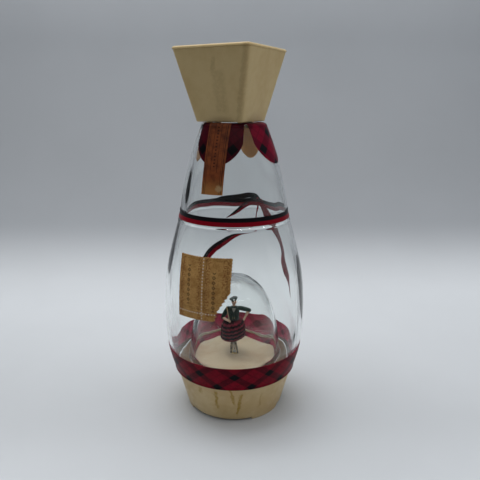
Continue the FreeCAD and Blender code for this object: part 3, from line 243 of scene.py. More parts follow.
class Graph:
    """A node tree with one method for each kind of node that the finishes use. Its end is the node that takes
    what the tree makes: a material's shader or a group's output."""

    def __init__(self, tree, end=None):
        self.tree = tree
        self.end = end

    def node(self, kind, sockets=(), **settings):
        node = self.tree.nodes.new(kind)
        for name, value in settings.items():
            setattr(node, name, value)
        for key, value in sockets.items() if isinstance(sockets, dict) else enumerate(sockets):
            if isinstance(value, bpy.types.NodeSocket):
                self.tree.links.new(value, node.inputs[key])
            else:
                set_plain(node.inputs[key], value)
        return node

    def feed(self, **sockets):
        """Link values into the end node's sockets by name, with an underscore for each space."""
        for label, socket in sockets.items():
            self.tree.links.new(socket, self.end.inputs[label.replace("_", " ")])

    def calc(self, operation, *values):
        return self.node("ShaderNodeMath", values, operation=operation).outputs[0]

    def chain(self, operation, values):
        """Values joined two at a time by one operation."""
        total = values[0]
        for value in values[1:]:
            total = self.calc(operation, total, value)
        return total

    def times(self, *values):
        return self.chain("MULTIPLY", values)

    def plus(self, *values):
        return self.chain("ADD", values)

    def strongest(self, *masks):
        return self.chain("MAXIMUM", masks)

    def minus(self, first, second):
        return self.calc("SUBTRACT", first, second)

    def apart(self, first, second):
        """How far apart two values are, whichever is larger."""
        return self.calc("ABSOLUTE", self.minus(first, second))

    def squares(self, first, second):
        """The sum of two squares."""
        return self.plus(self.times(first, first), self.times(second, second))

    def along(self, where, way):
        """How far along a direction a spot is: their dot product."""
        sockets = [where, tuple(way)]
        return self.node("ShaderNodeVectorMath", sockets, operation="DOT_PRODUCT").outputs["Value"]

    def ramp(self, value, low, high, start=0.0, end=1.0):
        """A soft step: start below low, end above high."""
        sockets = {0: value, 1: low, 2: high, 3: start, 4: end}
        return self.node("ShaderNodeMapRange", sockets, interpolation_type="SMOOTHSTEP").outputs[0]

    def mix(self, share, first, second):
        sockets = {0: share, 6: first, 7: second}
        return self.node("ShaderNodeMix", sockets, data_type="RGBA").outputs[2]

    def paint(self, tone, mask, strength, colour):
        """A colour laid over a tone where a mask is, at a strength."""
        return self.mix(self.times(mask, strength), tone, colour)

    def noise(self, where, scale, detail=3.0, rough=0.55):
        sockets = {"Vector": where, "Scale": scale, "Detail": detail, "Roughness": rough}
        return self.node("ShaderNodeTexNoise", sockets).outputs[0]

    def scaled(self, tone, share):
        return self.node("ShaderNodeVectorMath", {0: tone, 3: share}, operation="SCALE").outputs[0]

    def stretch(self, where, x, y, z):
        return self.node("ShaderNodeVectorMath", [where, (x, y, z)], operation="MULTIPLY").outputs[0]

    def parts(self, where):
        return self.node("ShaderNodeSeparateXYZ", [where]).outputs

    def millimetres(self):
        spot = self.node("ShaderNodeTexCoord").outputs["Object"]
        return self.stretch(spot, 1000.0, 1000.0, 1000.0)

    def sheet(self):
        return self.node("ShaderNodeUVMap", uv_map="sheet").outputs[0]

    def bump(self, height, depth_mm):
        return self.node("ShaderNodeBump", {"Height": height, "Distance": depth_mm * MM}).outputs[0]

    def use(self, group, sockets):
        return self.node("ShaderNodeGroup", sockets, node_tree=group).outputs


def group_of(name, inputs, outputs):
    """A new node group with its graph and its inputs by name."""
    tree = bpy.data.node_groups.new(name, "ShaderNodeTree")
    for way, labels in (("INPUT", inputs), ("OUTPUT", outputs)):
        for label, kind in labels.items():
            tree.interface.new_socket(label, in_out=way, socket_type="NodeSocket" + kind)
    graph = Graph(tree)
    given = graph.node("NodeGroupInput").outputs
    graph.end = graph.node("NodeGroupOutput")
    return tree, graph, given


def finish(name, **constants):
    """A new material with the graph of its Principled shader. Constants go onto the shader's sockets."""
    material = bpy.data.materials.new(name)
    material.use_nodes = True
    shader = material.node_tree.nodes["Principled BSDF"]
    for label, value in constants.items():
        set_plain(shader.inputs[label.replace("_", " ")], value)
    return material, Graph(material.node_tree, shader)


print("helpers ready")

# %% [markdown]
# The camera stands where the photograph was taken from: a little above the middle of the bottle, turned
# from the label side towards the dancer's face. Six numbers fix it.

# %% Camera
camera_distance = 419.6
camera_height = 259.2
camera_turn = math.radians(24.0)
camera_pitch = math.radians(15.0)
camera_yaw = math.radians(0.68)
camera_lens = 38.46
front_turn = camera_turn - math.pi / 2

eye = bpy.data.cameras.new("eye")
eye.lens = camera_lens
eye.clip_start = 0.01
camera = bpy.data.objects.new("camera", eye)
camera.location = (camera_distance * MM * math.sin(camera_turn),
                   -camera_distance * MM * math.cos(camera_turn), camera_height * MM)
camera.rotation_euler = (math.pi / 2 - camera_pitch, 0, camera_turn - camera_yaw)
bpy.context.scene.collection.objects.link(camera)
bpy.context.scene.camera = camera
print("camera at", [round(value, 3) for value in camera.location])

# %% [markdown]
# The floor is one pale sheet that runs back under the object and bends up into a backdrop, as in a small
# light tent. A bend has no horizon line. The sheet is a profile in the direction of view, carried sideways.

# %% Floor and backdrop
floor_reach = 1500.0
bend_start = 250.0
bend_radius = 380.0
wall_height = 1500.0
floor_tone, shaded_wall_tone = (0.70, 0.725, 0.745), (0.345, 0.362, 0.382)

flat = np.array([(-floor_reach, 0.0), (bend_start, 0.0)])
bend = quarter((bend_start, 0.0), (bend_start + bend_radius, bend_radius), True, 40)
run = joined(flat, bend, [(bend_start + bend_radius, wall_height)])
ahead = np.array([-math.sin(camera_turn), math.cos(camera_turn), 0])
aside = np.array([math.cos(camera_turn), math.sin(camera_turn), 0])
upward = np.array([0, 0, 1.0])
across = np.linspace(-floor_reach, floor_reach, 9)[None, :, None]
sweep_grid = run[:, None, :1] * ahead + across * aside + run[:, None, 1:] * upward

sweep_paper, graph = finish("sweep_paper", Roughness=0.75, Specular_IOR_Level=0.2)
where = graph.millimetres()
height = graph.parts(where)[2]
depth = graph.along(where, ahead)
sideways = graph.along(where, aside)
# Light and shade are painted into the sheet's tone. The wall is a darker copy of the floor's paper. The floor
# is lifted a little in front of the object, darkens far in front and brightens towards the back, and the wall
# brightens upwards and to the right. Only the faint mottle is the paper's own.
tone = graph.mix(graph.ramp(height, -22.0, 62.0), floor_tone, shaded_wall_tone)
painted_light_and_mottle = [graph.ramp(depth, -120.0, 250.0, 0.88, 1.06), graph.ramp(depth, -330.0, -180.0, 0.12, 1.0),
          graph.ramp(depth, -120.0, -30.0, 1.14, 1.0), graph.ramp(height, 110.0, 520.0, 1.0, 1.5),
          graph.ramp(sideways, 0.0, 450.0, 1.0, 1.1),
          graph.ramp(graph.noise(where, 0.006), 0.3, 0.7, 0.97, 1.0)]
graph.feed(Base_Color=graph.scaled(tone, graph.times(*painted_light_and_mottle)))

mesh = bpy.data.meshes.new("sweep")
quads = cells(np.arange(sweep_grid[..., 0].size).reshape(sweep_grid.shape[:2]))
mesh.from_pydata((sweep_grid.reshape(-1, 3) * MM).tolist(), [], quads[:, ::-1].tolist())
mesh.shade_smooth()
mesh.materials.append(sweep_paper)
sweep = bpy.data.objects.new("sweep", mesh)
bpy.context.scene.collection.objects.link(sweep)
print("sweep", len(quads), "faces")

# %% [markdown]
# Light is soft and from above: one large lamp over the tent, and a world that is a pale ceiling, a little
# brighter on the right and dark in front, where the camera stands. A dark front matters for glass. A view
# through the bottle and the dome crosses eight surfaces, each mirrors some of the room, and a bright room
# would lie over the dancer like fog. So the weak lamp in front makes no glints. A small bright lamp at the
# right makes the few that the glass should have. A long thin one in front doesn't light dull surfaces, and
# draws the white line on the bead under the belt.

# %% Lamp and world
aim_point = np.array([0, 0, 0.15])


def area_lamp(name, place, size, energy, glints=True, lights=True):
    """A soft lamp at a place, turned to the aim point: its slope is the angle between down and the way."""
    light = bpy.data.lights.new(name, "AREA")
    light.shape = "RECTANGLE"
    light.size, light.size_y = size
    light.energy = energy
    lamp = bpy.data.objects.new(name, light)
    way = aim_point - place
    lamp.location = place
    lamp.rotation_euler = (math.atan2(math.hypot(way[0], way[1]), -way[2]), 0,
                           math.atan2(way[1], way[0]) - math.pi / 2)
    lamp.visible_glossy = glints
    lamp.visible_diffuse = lights
    bpy.context.scene.collection.objects.link(lamp)


area_lamp("overhead", -0.15 * aside + 0.25 * ahead + 1.15 * upward, (0.9, 0.9), 9.0)
area_lamp("fill", -0.9 * ahead + 0.75 * upward, (1.2, 1.2), 1.2, glints=False)
area_lamp("window", 0.92 * aside - 0.36 * ahead + 0.85 * upward, (0.04, 0.15), 0.4)
area_lamp("strip", -0.75 * ahead + 0.95 * upward, (1.0, 0.025), 2.4, lights=False)

world = bpy.data.worlds.new("tent")
world.use_nodes = True
graph = Graph(world.node_tree)
way = graph.node("ShaderNodeTexCoord").outputs["Generated"]
ceiling = graph.ramp(graph.parts(way)[2], 0.05, 0.85, 0.06, 0.62)
window = graph.ramp(graph.along(way, aside), 0.15, 0.9, 0.0, 0.28)
dim = graph.ramp(graph.along(way, -ahead), 0.1, 0.8, 1.0, 0.3)
sky = graph.scaled((0.97, 1.0, 1.05), graph.times(graph.plus(ceiling, window), dim))
graph.tree.links.new(sky, graph.tree.nodes["Background"].inputs[0])
bpy.context.scene.world = world
bpy.context.scene.view_settings.view_transform = "Standard"
print("lamps:", len(bpy.data.lights))

# %% [markdown]
# The bottle is one blown piece of clear glass: outer wall, neck, inner wall, and a dome that was pushed up
# into its foot. All of it is one closed line turned about the axis, from the dome's crown inside to the
# dome's crown outside. A low moulded bead runs round under the belt. Blown walls are never even, so slow
# waves in the turn and the height move the inner wall a little, and the light bends through it as it does
# through the real one.

# %% Outline of the glass
glass_low, glass_high = [np.array(corner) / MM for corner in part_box("glass_bottle")]
foot_z, lip_z = glass_low[2], glass_high[2]
body_radius = glass_high[0]
heel_radius, belt_radius, cone_top_radius = 52.6, 44.7, 26.4
heel_rise, heel_round = 1.4, 1.6
lower_height, upper_height, shoulder_height = 135.8, 69.0, 3.0
shoulder_round, shoulder_fall = 3.8, 0.3
neck_radius, neck_fillet, bore_radius, lip_radius = 13.4, 2.4, 9.5, 14.8
lip_height, lip_round, mouth_round, bore_flare = 5.0, 1.2, 1.0, 3.0
glass_wall, foot_thickness, trough_depth = 3.4, 8.5, 5.0
dome_radius, dome_height, dome_edge = 36.8, 75.3, 0.8
bead_drop, bead_half, bead_rise = 5.6, 0.7, 0.4

belt_z = foot_z + lower_height
cone_top_z = belt_z + upper_height
shoulder_z = cone_top_z + shoulder_height


def shared(radii, heights, low_radius, high_radius, low_z, height):
    """Points at shares of a change of radius and of a height."""
    change = high_radius - low_radius
    return [(low_radius + change * r, low_z + height * h) for r, h in zip(radii, heights)]


swell = shared((0, 0.727, 1.0), (0, 0.157, 0.396), heel_radius, body_radius, foot_z, lower_height)
taper = shared((0.797, 0.405, 0), (0.661, 0.838, 1.0), belt_radius, body_radius, foot_z, lower_height)
cone = shared((0, 0.273, 0.689, 1.0), (0, 0.406, 0.783, 1.0), belt_radius, cone_top_radius, belt_z,
              upper_height)
dome = shared((0.957, 0.88, 0.777, 0.52, 0.27, 0), (0.29, 0.529, 0.728, 0.92, 0.985, 1.0), 0, dome_radius,
              foot_z, dome_height)
heel = (heel_radius, foot_z + heel_rise)
lower_wall = smooth_line([heel] + swell[1:] + taper, 110)
upper_wall = smooth_line(cone, 60)
bead_z = belt_z - bead_drop
bead = even(lower_wall, bead_z - 3 * bead_half, bead_z + 3 * bead_half, 19)
below, above = lower_wall[:, 1] < bead[0, 1], lower_wall[:, 1] > bead[-1, 1]
bead[:, 0] += bead_rise * np.exp(-((bead[:, 1] - bead_z) / bead_half) ** 2 / 2)
beaded_wall = joined(lower_wall[below], bead, lower_wall[above])
dome_line = smooth_line([(dome_radius, foot_z + dome_edge)] + dome, 90, (0, 1), (-1, 0))
cone_top = (cone_top_radius, cone_top_z)
shoulder_end = (cone_top_radius - shoulder_round, shoulder_z - shoulder_fall)
shoulder_bend = quarter(cone_top, shoulder_end, False, 10)
print("walls:", len(lower_wall), "+", len(upper_wall), "points")

# %% Skin of the glass
outside = joined(
    dome_line[::-1], quarter((dome_radius, foot_z + dome_edge), (dome_radius + dome_edge, foot_z), False),
    quarter((heel_radius - heel_round, foot_z), heel, True), beaded_wall, upper_wall, shoulder_bend,
    quarter((neck_radius + neck_fillet, shoulder_z), (neck_radius, shoulder_z + neck_fillet), True),
    quarter((neck_radius, lip_z - lip_height), (lip_radius, lip_z - lip_height + 2 * lip_round), False),
    quarter((lip_radius, lip_z - lip_round), (lip_radius - lip_round, lip_z), False),
    quarter((bore_radius + mouth_round, lip_z), (bore_radius, lip_z - mouth_round), True),
)
ceiling_z = shoulder_z - glass_wall
trough_rim_z = foot_z + foot_thickness + trough_depth
inner_wall = offset(joined(lower_wall, upper_wall), -glass_wall)[::-1]
inner_wall = inner_wall[inner_wall[:, 1] > trough_rim_z]
inner_wall = inner_wall[inner_wall[:, 1] < ceiling_z - shoulder_round / 2]
dome_outer = offset(dome_line, glass_wall)
dome_outer = dome_outer[dome_outer[:, 1] > trough_rim_z]
dome_outer[-1, 0] = 0
trough_turn = np.linspace(0, math.pi, 24)[1:-1]
trough_middle = (inner_wall[-1, 0] + dome_outer[0, 0]) / 2
trough_half = (inner_wall[-1, 0] - dome_outer[0, 0]) / 2
trough = np.stack([trough_middle + trough_half * np.cos(trough_turn),
                   trough_rim_z - trough_depth * np.sin(trough_turn)], axis=-1)
ceiling_end = (inner_wall[0, 0] - shoulder_round / 2, ceiling_z)
inside = joined(quarter((bore_radius, ceiling_z + bore_flare), (bore_radius + bore_flare, ceiling_z), False),
                quarter(ceiling_end, inner_wall[0], True), inner_wall, trough, dome_outer)


def blown(grid, depth):
    """Waves of an uneven wall: three sines of the turn and the height, faded out at both ends."""
    x, y, z = np.moveaxis(grid, -1, 0)
    turn = np.arctan2(y, x)
    wave = np.sin(2 * turn + z / 31) + 0.7 * np.sin(5 * turn - z / 23 + 1.0) + 0.4 * np.sin(9 * turn + z / 14)
    fade = np.clip((z - trough_rim_z) / wave_fade, 0, 1) * np.clip((ceiling_z - z) / wave_fade, 0, 1)
    move = 1 + depth * wave * fade / np.maximum(np.hypot(x, y), 1.0)
    return np.stack([x * move, y * move, z], axis=-1)


wall_unevenness, wave_fade, glass_columns = 0.36, 25.0, 160
outside[0, 0] = 0
glass_grid = np.vstack([lathe(outside, glass_columns), blown(lathe(inside, glass_columns), wall_unevenness)])
print("glass grid", glass_grid.shape)

# %% Clear glass
clear_glass, graph = finish("clear_glass", Base_Color=(0.965, 0.98, 0.975), IOR=1.5,
                            Transmission_Weight=1.0, Specular_Tint=(0.3, 0.3, 0.3))
where = graph.millimetres()
smudge = graph.noise(where, 0.045, 5.0, 0.6)
streak = graph.noise(graph.stretch(where, 0.1, 0.1, 0.008), 1.0, 1.0)
graph.feed(Roughness=graph.ramp(smudge, 0.52, 0.75, 0.0, 0.05), Normal=graph.bump(streak, 0.12))
path = graph.node("ShaderNodeLightPath").outputs["Is Shadow Ray"]
clear = graph.node("ShaderNodeBsdfTransparent", [(0.90, 0.915, 0.91)]).outputs[0]
blend = graph.node("ShaderNodeMixShader", [path, graph.end.outputs[0], clear]).outputs[0]
graph.tree.links.new(blend, graph.tree.nodes["Material Output"].inputs[0])
make("bottle_glass", [skin(glass_grid, poles=(True, True))], clear_glass, "decanter",
     ["glass_bottle"])

# %% [markdown]
# Tartan is two sets of stripes that cross. Where one dark stripe lies over the red ground the eye sees
# maroon, and where two cross it sees black. So the pattern needs only two numbers at each spot, how far
# along each set of stripes it is, and the ribbon, the collar and the kilt can share one node group.

# %% Tartan group
tartan, graph, given = group_of(
    "tartan", {"First": "Float", "Second": "Float", "Ground": "Color", "Crossed": "Color", "Black": "Color",
               "Stripe": "Float"}, {"Color": "Color"})


def stripe(graph, along, half_width):
    """1 on a dark stripe round each whole number, 0 elsewhere, with a soft edge."""
    far = graph.apart(graph.calc("FRACT", graph.plus(along, 0.5)), 0.5)
    return graph.ramp(far, graph.minus(half_width, 0.02), graph.plus(half_width, 0.02), 1.0, 0.0)


def hairline(graph, along):
    """A thin line half way between two dark stripes."""
    far = graph.apart(graph.calc("FRACT", along), 0.5)
    return graph.ramp(far, 0.012, 0.03, 1.0, 0.0)


first = stripe(graph, given["First"], given["Stripe"])
second = stripe(graph, given["Second"], given["Stripe"])
lines = graph.strongest(hairline(graph, given["First"]), hairline(graph, given["Second"]))
tone = graph.paint(given["Ground"], graph.strongest(first, second), 0.75, given["Crossed"])
tone = graph.paint(tone, lines, 0.55, given["Crossed"])
graph.feed(Color=graph.mix(graph.times(first, second), tone, given["Black"]))
print("group", tartan.name)

# %% [markdown]
# The ribbon round the heel is a printed band, red with black diamonds. The stripes run slantwise, so the
# two numbers are the turn plus and minus the height. Twelve diamonds fit round the bottle, and one faces
# the camera. The band follows the glass with a hair's gap, so its profile is an offset of the same wall.
# Its back shows through the glass in a brighter crimson, so a flat coordinate tells the two sides apart.

# %% Ribbon print
trim_gap, trim_thickness = 0.12, 0.3
band_low, band_high = [corner[2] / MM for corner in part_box("tartan_band")]
diamonds, band_stripe = 12, 0.158
diamond_row_z = band_low + 13.4
diamond_half_pitch = 10.9
tartan_red = (0.20, 0.003, 0.014)
tartan_maroon = (0.06, 0.002, 0.008)
tartan_black = (0.005, 0.004, 0.006)


def slant(graph, where):
    """Two slanting numbers of a spot on the band: turn in diamonds, plus and minus the height."""
    x, y, z = graph.parts(where)
    turn = graph.minus(graph.calc("ARCTAN2", y, x), front_turn)
    turn = graph.times(turn, diamonds / (2 * math.pi))
    lift = graph.times(graph.minus(z, diamond_row_z), 0.5 / diamond_half_pitch)
    return graph.plus(turn, lift), graph.minus(turn, lift)


tartan_ribbon, graph = finish("tartan_ribbon", Roughness=0.4, Specular_IOR_Level=0.05)
where = graph.millimetres()
first, second = slant(graph, where)
upper = graph.ramp(graph.parts(where)[2], band_high - 4.0, band_high - 1.0)
outer_side = graph.parts(graph.sheet())[0]
ground = graph.mix(outer_side, (0.46, 0.028, 0.08), tartan_red)
crossed = graph.mix(outer_side, (0.24, 0.02, 0.048), tartan_maroon)
black = graph.mix(outer_side, (0.13, 0.012, 0.03), graph.mix(upper, tartan_black, tartan_maroon))
print_colour = graph.use(tartan, {"First": first, "Second": second, "Ground": ground, "Crossed": crossed,
                                  "Black": black, "Stripe": band_stripe})
worn = graph.ramp(graph.noise(where, 0.35, 5.0), 0.35, 0.75, 0.8, 1.15)
tone = graph.scaled(print_colour[0], worn)
twill = graph.node("ShaderNodeTexWave", {"Vector": where, "Scale": 1.1, "Distortion": 0.6},
                   bands_direction="DIAGONAL")
graph.feed(Base_Color=tone, Normal=graph.bump(twill.outputs[1], 0.03))
print("finish", tartan_ribbon.name)

# %% Ribbon round the heel
def wrapped(wall):
    """A closed thin ring on a stretch of wall: inner line up, outer line down, turned about the axis."""
    inner = offset(wall, trim_gap)
    outer = offset(wall, trim_gap + trim_thickness)
    return skin(lathe(np.vstack([inner, outer[::-1]])), loop=True)


heel_wall = joined([(heel_radius, band_low)], even(lower_wall, foot_z + heel_rise, band_high, 24))
band_skin = wrapped(heel_wall)
band_sides = np.repeat([[0.0, 0.0], [1.0, 0.0]], len(band_skin[0]) // 2, axis=0)
make("tartan_band", [band_skin], tartan_ribbon, "decanter", ["tartan_band"],
     sheet=band_sides)

# %% [markdown]
# Two narrow tapes make the belt, black over red. They are plain glossy tape, so the detail is in the
# slightly wavy sheen and the fine scuffs along it.

# %% Belt tapes
def tape(name, colour):
    """Glossy tape with fine scuffs along it, paler and duller than the rest."""
    material, graph = finish(name, Specular_IOR_Level=0.06)
    where = graph.millimetres()
    scuff = graph.noise(graph.stretch(where, 0.25, 0.25, 3.0), 1.0, 4.0)
    tone = graph.mix(graph.ramp(scuff, 0.55, 0.85, 0.0, 0.35), colour, (0.12, 0.07, 0.07))
    graph.feed(Base_Color=tone, Roughness=graph.ramp(scuff, 0.3, 0.7, 0.22, 0.5),
               Normal=graph.bump(scuff, 0.05))
    return material


black_low, black_high = [corner[2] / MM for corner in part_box("black_belt")]
red_low, red_high = [corner[2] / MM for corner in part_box("red_belt")]
black_tape = tape("black_tape", (0.008, 0.007, 0.009))
red_tape = tape("red_tape", (0.22, 0.002, 0.010))
black_ring = wrapped(even(upper_wall, black_low, black_high, 6))
red_ring = wrapped(even(lower_wall, red_low, red_high, 6))
make("black_belt", [black_ring], black_tape, "decanter", ["black_belt"])
make("red_belt", [red_ring], red_tape, "decanter", ["red_belt"])

# %% [markdown]
# Behind, the tapes are knotted and their ends are stuck down on the glass. An end is a strip of two
# parameters, along a smooth line drawn on the unrolled wall and across it, and the sheet is rolled back onto
# the wall: the arc becomes a turn, and the radius is read from the outline at each height.

# %% Tape ends on the back wall
back_arc = 42.0
back_wall = joined(beaded_wall, upper_wall)
tail_rows = 140
tail_across = np.linspace(-1, 1, 7)


def rolled(arc, height, gap):
    """Points of the wall at an arc round from the right side and a height, a gap off the glass."""
    radius = np.interp(height, back_wall[:, 1], back_wall[:, 0]) + gap
    return ring_points(radius, arc / back_arc, height)


def tail(places, widths, low, high, gap):
    """A strip along places of (arc, height). Its columns run from share low to share high of the half width
    to the left of the line, and its half width follows widths."""
    line = smooth_line(places, tail_rows)
    way = unit(np.gradient(line, axis=0))
    half = np.interp(np.linspace(0, 1, tail_rows), np.linspace(0, 1, len(widths)), widths)[:, None] / 2
    share = low + (high - low) * (tail_across + 1) / 2
    arc = line[:, :1] - way[:, 1:] * half * share
    height = line[:, 1:] + way[:, :1] * half * share
    return slab(rolled(arc, height, gap + trim_thickness), rolled(arc, height, gap))


# %% Red and black ends
upper_tail = [(61, 176.5), (74, 169.5), (83, 162), (91, 157)]
lower_tail = [(70, 142.5), (81, 139.5), (92, 132.5), (103, 119.5), (108, 111)]
long_tail = [(58, 174.5), (52.5, 166), (47.5, 157), (44.8, 149.5), (42.2, 137.5), (42.6, 128), (44.5, 115),
             (43, 108), (39.5, 99), (34.5, 86)]
weaving_tail = [(59.5, 173), (54, 165), (50.5, 156.5), (48, 149.5), (43.4, 137.5), (42.4, 128), (45.4, 115),
                (44.8, 106.5), (40, 98), (35.4, 89)]
overlap = [(103, 173.2), (94, 175.4), (82.5, 177), (69, 178), (61.5, 176.6), (56.5, 173.5)]
link = [(61, 172.5), (63.5, 161), (66, 150), (71, 142.3)]
wedge_widths = (6.5, 5.5, 3.5, 0.5)
sweep_widths = (1.0, 4.8, 6.4, 6.8, 6.8)
long_widths = (8.0, 9.0, 15.0, 8.5, 3.8, 3.6, 7.0, 7.0, 2.2, 0.5)
weaving_widths = (6.5, 5.5, 6.5, 4.0, 2.0, 1.8, 4.0, 4.0, 1.2, 0.5)
overlap_widths = (2.0, 4.0, 4.6, 4.8, 4.6, 2.5)
link_widths = (2.2, 0.9, 0.8, 1.2)
over_gap = 2 * trim_gap + trim_thickness
black_ends = [tail(overlap, overlap_widths, -1.0, 1.0, over_gap),
              tail(upper_tail, wedge_widths, 0.0, 1.0, trim_gap),
              tail(lower_tail, sweep_widths, 0.0, 1.0, trim_gap),
              tail(weaving_tail, weaving_widths, -1.0, 1.0, over_gap)]
red_ends = [tail(link, link_widths, -1.0, 1.0, trim_gap),
            tail(upper_tail, wedge_widths, -1.0, 0.0, trim_gap),
            tail(lower_tail, sweep_widths, -1.0, 0.0, trim_gap),
            tail(long_tail, long_widths, -1.0, 1.0, trim_gap)]
print("tape ends", len(black_ends), "black and", len(red_ends), "red")

# %% Knot
knot_middle, knot_half_arc = (60.5, 174.6), 3.0
knot_half_height, knot_bulge = 2.6, 1.6
knot_share = np.linspace(-1, 1, 25)[None, :]
knot_up = np.linspace(-1, 1, 17)[:, None]
knot_arc = knot_middle[0] + knot_half_arc * knot_share
knot_height = knot_middle[1] + knot_half_height * np.sqrt(1 - 0.85 * knot_share ** 2) * knot_up
knot_rise = knot_bulge * (1 - knot_share ** 2) * (1 - knot_up ** 2)
knot_rise *= 0.75 + 0.25 * np.cos(2.2 * knot_arc + knot_height)
black_ends.append(slab(rolled(knot_arc, knot_height, over_gap + trim_thickness + knot_rise),
                       rolled(knot_arc, knot_height, over_gap)))
make("black_tape_ends", black_ends, black_tape, "decanter")
make("red_tape_ends", red_ends, red_tape, "decanter")

# %% [markdown]
# The collar is cut from one printed sheet: four round-ended petals hang down the cone from a ring over the
# shoulder. A petal is a sheet of rows along the glass and columns across. At each height its half width is
# that of a circle near the tip and almost straight above, and the angle is the arc sine of half width over
# radius. The petals at the back and the left are narrower. Light from the right is painted into the print:
# it is much brighter on the right petal and darker on the others. The back of the sheet is tan card,
# painted brighter and more orange than bare card as a painted glow of light shining through it from
# behind. Its flat coordinates are moved far off, so the finish can tell the sides apart.

# %% Collar petals
petal_length, petal_round, collar_ring = 28.0, 16.0, 4.0
petal_half_width, petal_root_half_width, narrow_half_width = 18.5, 17.1, 8.5
petal_columns = 45
patch_pitch, patch_stripe = 12.5, 0.18
back_shift = -1000.0

petal_tip_z = cone_top_z - petal_length
petal_side_z = petal_tip_z + petal_round
petal_circle = (petal_half_width ** 2 + petal_round ** 2) / (2 * petal_round)
collar_end_radius = cone_top_radius - shoulder_round - collar_ring
tip_z = petal_tip_z + (1 - np.cos(np.linspace(0.03, math.pi / 2, 30))) * petal_round
tip_line = np.stack([np.interp(tip_z, upper_wall[:, 1], upper_wall[:, 0]), tip_z], axis=-1)
petal_line = joined(tip_line, even(upper_wall, petal_side_z, cone_top_z, 14), shoulder_bend,
                    [(collar_end_radius, shoulder_z - shoulder_fall / 2)])
above_tip = petal_line[:, 1] - petal_tip_z
round_half = np.sqrt(np.maximum(petal_circle ** 2 - (petal_circle - above_tip) ** 2, 0))
straight = (petal_line[:, 1] - petal_side_z) / (shoulder_z - petal_side_z)
straight_half = petal_half_width + (petal_root_half_width - petal_half_width) * np.clip(straight, 0, 1)
half_width = np.where(above_tip < petal_round, round_half, straight_half)
narrow_tip = np.clip(1 - above_tip / narrow_half_width, 0, 1)
narrow_half = narrow_half_width * np.sqrt(1 - narrow_tip ** 2)
wide_turn = np.minimum(np.arcsin(np.minimum(half_width / petal_line[:, 0], 1)), math.pi / 4)
narrow_turn = np.arcsin(narrow_half / petal_line[:, 0])
petal_turns = (wide_turn, narrow_turn, 0.8 * narrow_turn, wide_turn)
petal_across = np.linspace(-1, 1, petal_columns)
petal_run = run_lengths(petal_line)


def petal_face(number, gap):
    """One face of a petal: turn = middle + half turn x across, on the wall moved out by a gap."""
    line = offset(petal_line, gap)
    turn = math.pi / 2 * number + petal_turns[number][:, None] * petal_across
    return ring_points(line[:, :1], turn, line[:, 1:])


def petal_sheet(number):
    """Flat coordinates of a petal's faces: arc across and length up, and the same far off for the back."""
    across = (petal_turns[number] * petal_line[:, 0])[:, None] * petal_across
    flat = np.stack(np.broadcast_arrays(across, petal_run[:, None]), axis=-1).reshape(-1, 2)
    return np.vstack([flat, flat + (0, back_shift)])


petals = [slab(petal_face(number, trim_gap + trim_thickness), petal_face(number, trim_gap))
          for number in range(4)]
print("petals", len(petals), "with", len(petal_line), "rows")

# %% Collar card
collar_card, graph = finish("collar_card", Specular_IOR_Level=0.04)
where = graph.sheet()
x, y, _ = graph.parts(where)
half_x = graph.times(x, 0.5 / patch_pitch)
half_y = graph.times(y, 0.5 / patch_pitch)
print_colour = graph.use(tartan, {"First": graph.plus(half_x, half_y), "Black": tartan_black,
                                  "Second": graph.minus(half_x, half_y), "Stripe": patch_stripe,
                                  "Ground": (0.125, 0.003, 0.014), "Crossed": (0.055, 0.002, 0.009)})
# The card's tan is painted brighter and more orange than bare card: a painted glow that stands in for light
# shining through the thin card from behind.
card = graph.mix(graph.noise(where, 0.9, 5.0), (0.92, 0.46, 0.17), (0.80, 0.36, 0.12))
back = graph.ramp(y, back_shift / 2 - 1, back_shift / 2 + 1, 1.0, 0.0)
# Painted light from the right: the print is darkened to half on the front, left and back petals and
# brightened well above its own tone on the right one.
painted_light_from_right = graph.ramp(graph.parts(graph.millimetres())[0], 15.0, 25.0, 0.5, 1.75)
tone = graph.mix(back, graph.scaled(print_colour[0], painted_light_from_right), card)
graph.feed(Base_Color=tone, Normal=graph.bump(graph.noise(where, 2.2, 4.0), 0.04),
           Roughness=graph.plus(graph.times(back, 0.35), 0.36))
make("tartan_collar", petals, collar_card, "decanter", ["tartan_collar"],
     sheet=np.vstack([petal_sheet(number) for number in range(4)]))

# %% [markdown]
# Aged paper is a tone with fibres in it, darker where glue or damp went through, lighter where it is
# rubbed. The seal strip and the stamp are both such paper, so this is a node group.

# %% Aged paper group
aged_paper, graph, given = group_of(
    "aged_paper", {"Where": "Vector", "Clean": "Color", "Stained": "Color", "Rubbed": "Color"},
    {"Color": "Color", "Height": "Float"})
blotch = graph.noise(given["Where"], 0.13, 5.0, 0.6)
fibre = graph.noise(graph.stretch(given["Where"], 1.0, 3.5, 1.0), 1.4, 5.0, 0.7)
tone = graph.mix(graph.ramp(blotch, 0.38, 0.68), given["Clean"], given["Stained"])
tone = graph.mix(graph.ramp(fibre, 0.58, 0.8, 0.0, 0.6), tone, given["Rubbed"])
crease = graph.noise(graph.stretch(given["Where"], 0.4, 1.0, 1.0), 0.09, 2.0)
graph.feed(Color=tone, Height=graph.plus(graph.times(fibre, 0.4), crease))
print("group", aged_paper.name)

# %% Helpers for things drawn on paper
def line_at(graph, value, at, half_width, soft=0.1):
    """1 within half a width of a value, 0 outside."""
    far = graph.apart(value, at)
    return graph.ramp(far, half_width - soft, half_width + soft, 1.0, 0.0)


def frame_line(graph, x, y, centre, half, width):
    """The outline of a rectangle: the larger of the two distances past its sides is near zero."""
    past_x = graph.minus(graph.apart(x, centre[0]), half[0])
    past_y = graph.minus(graph.apart(y, centre[1]), half[1])
    return line_at(graph, graph.calc("MAXIMUM", past_x, past_y), 0.0, width)


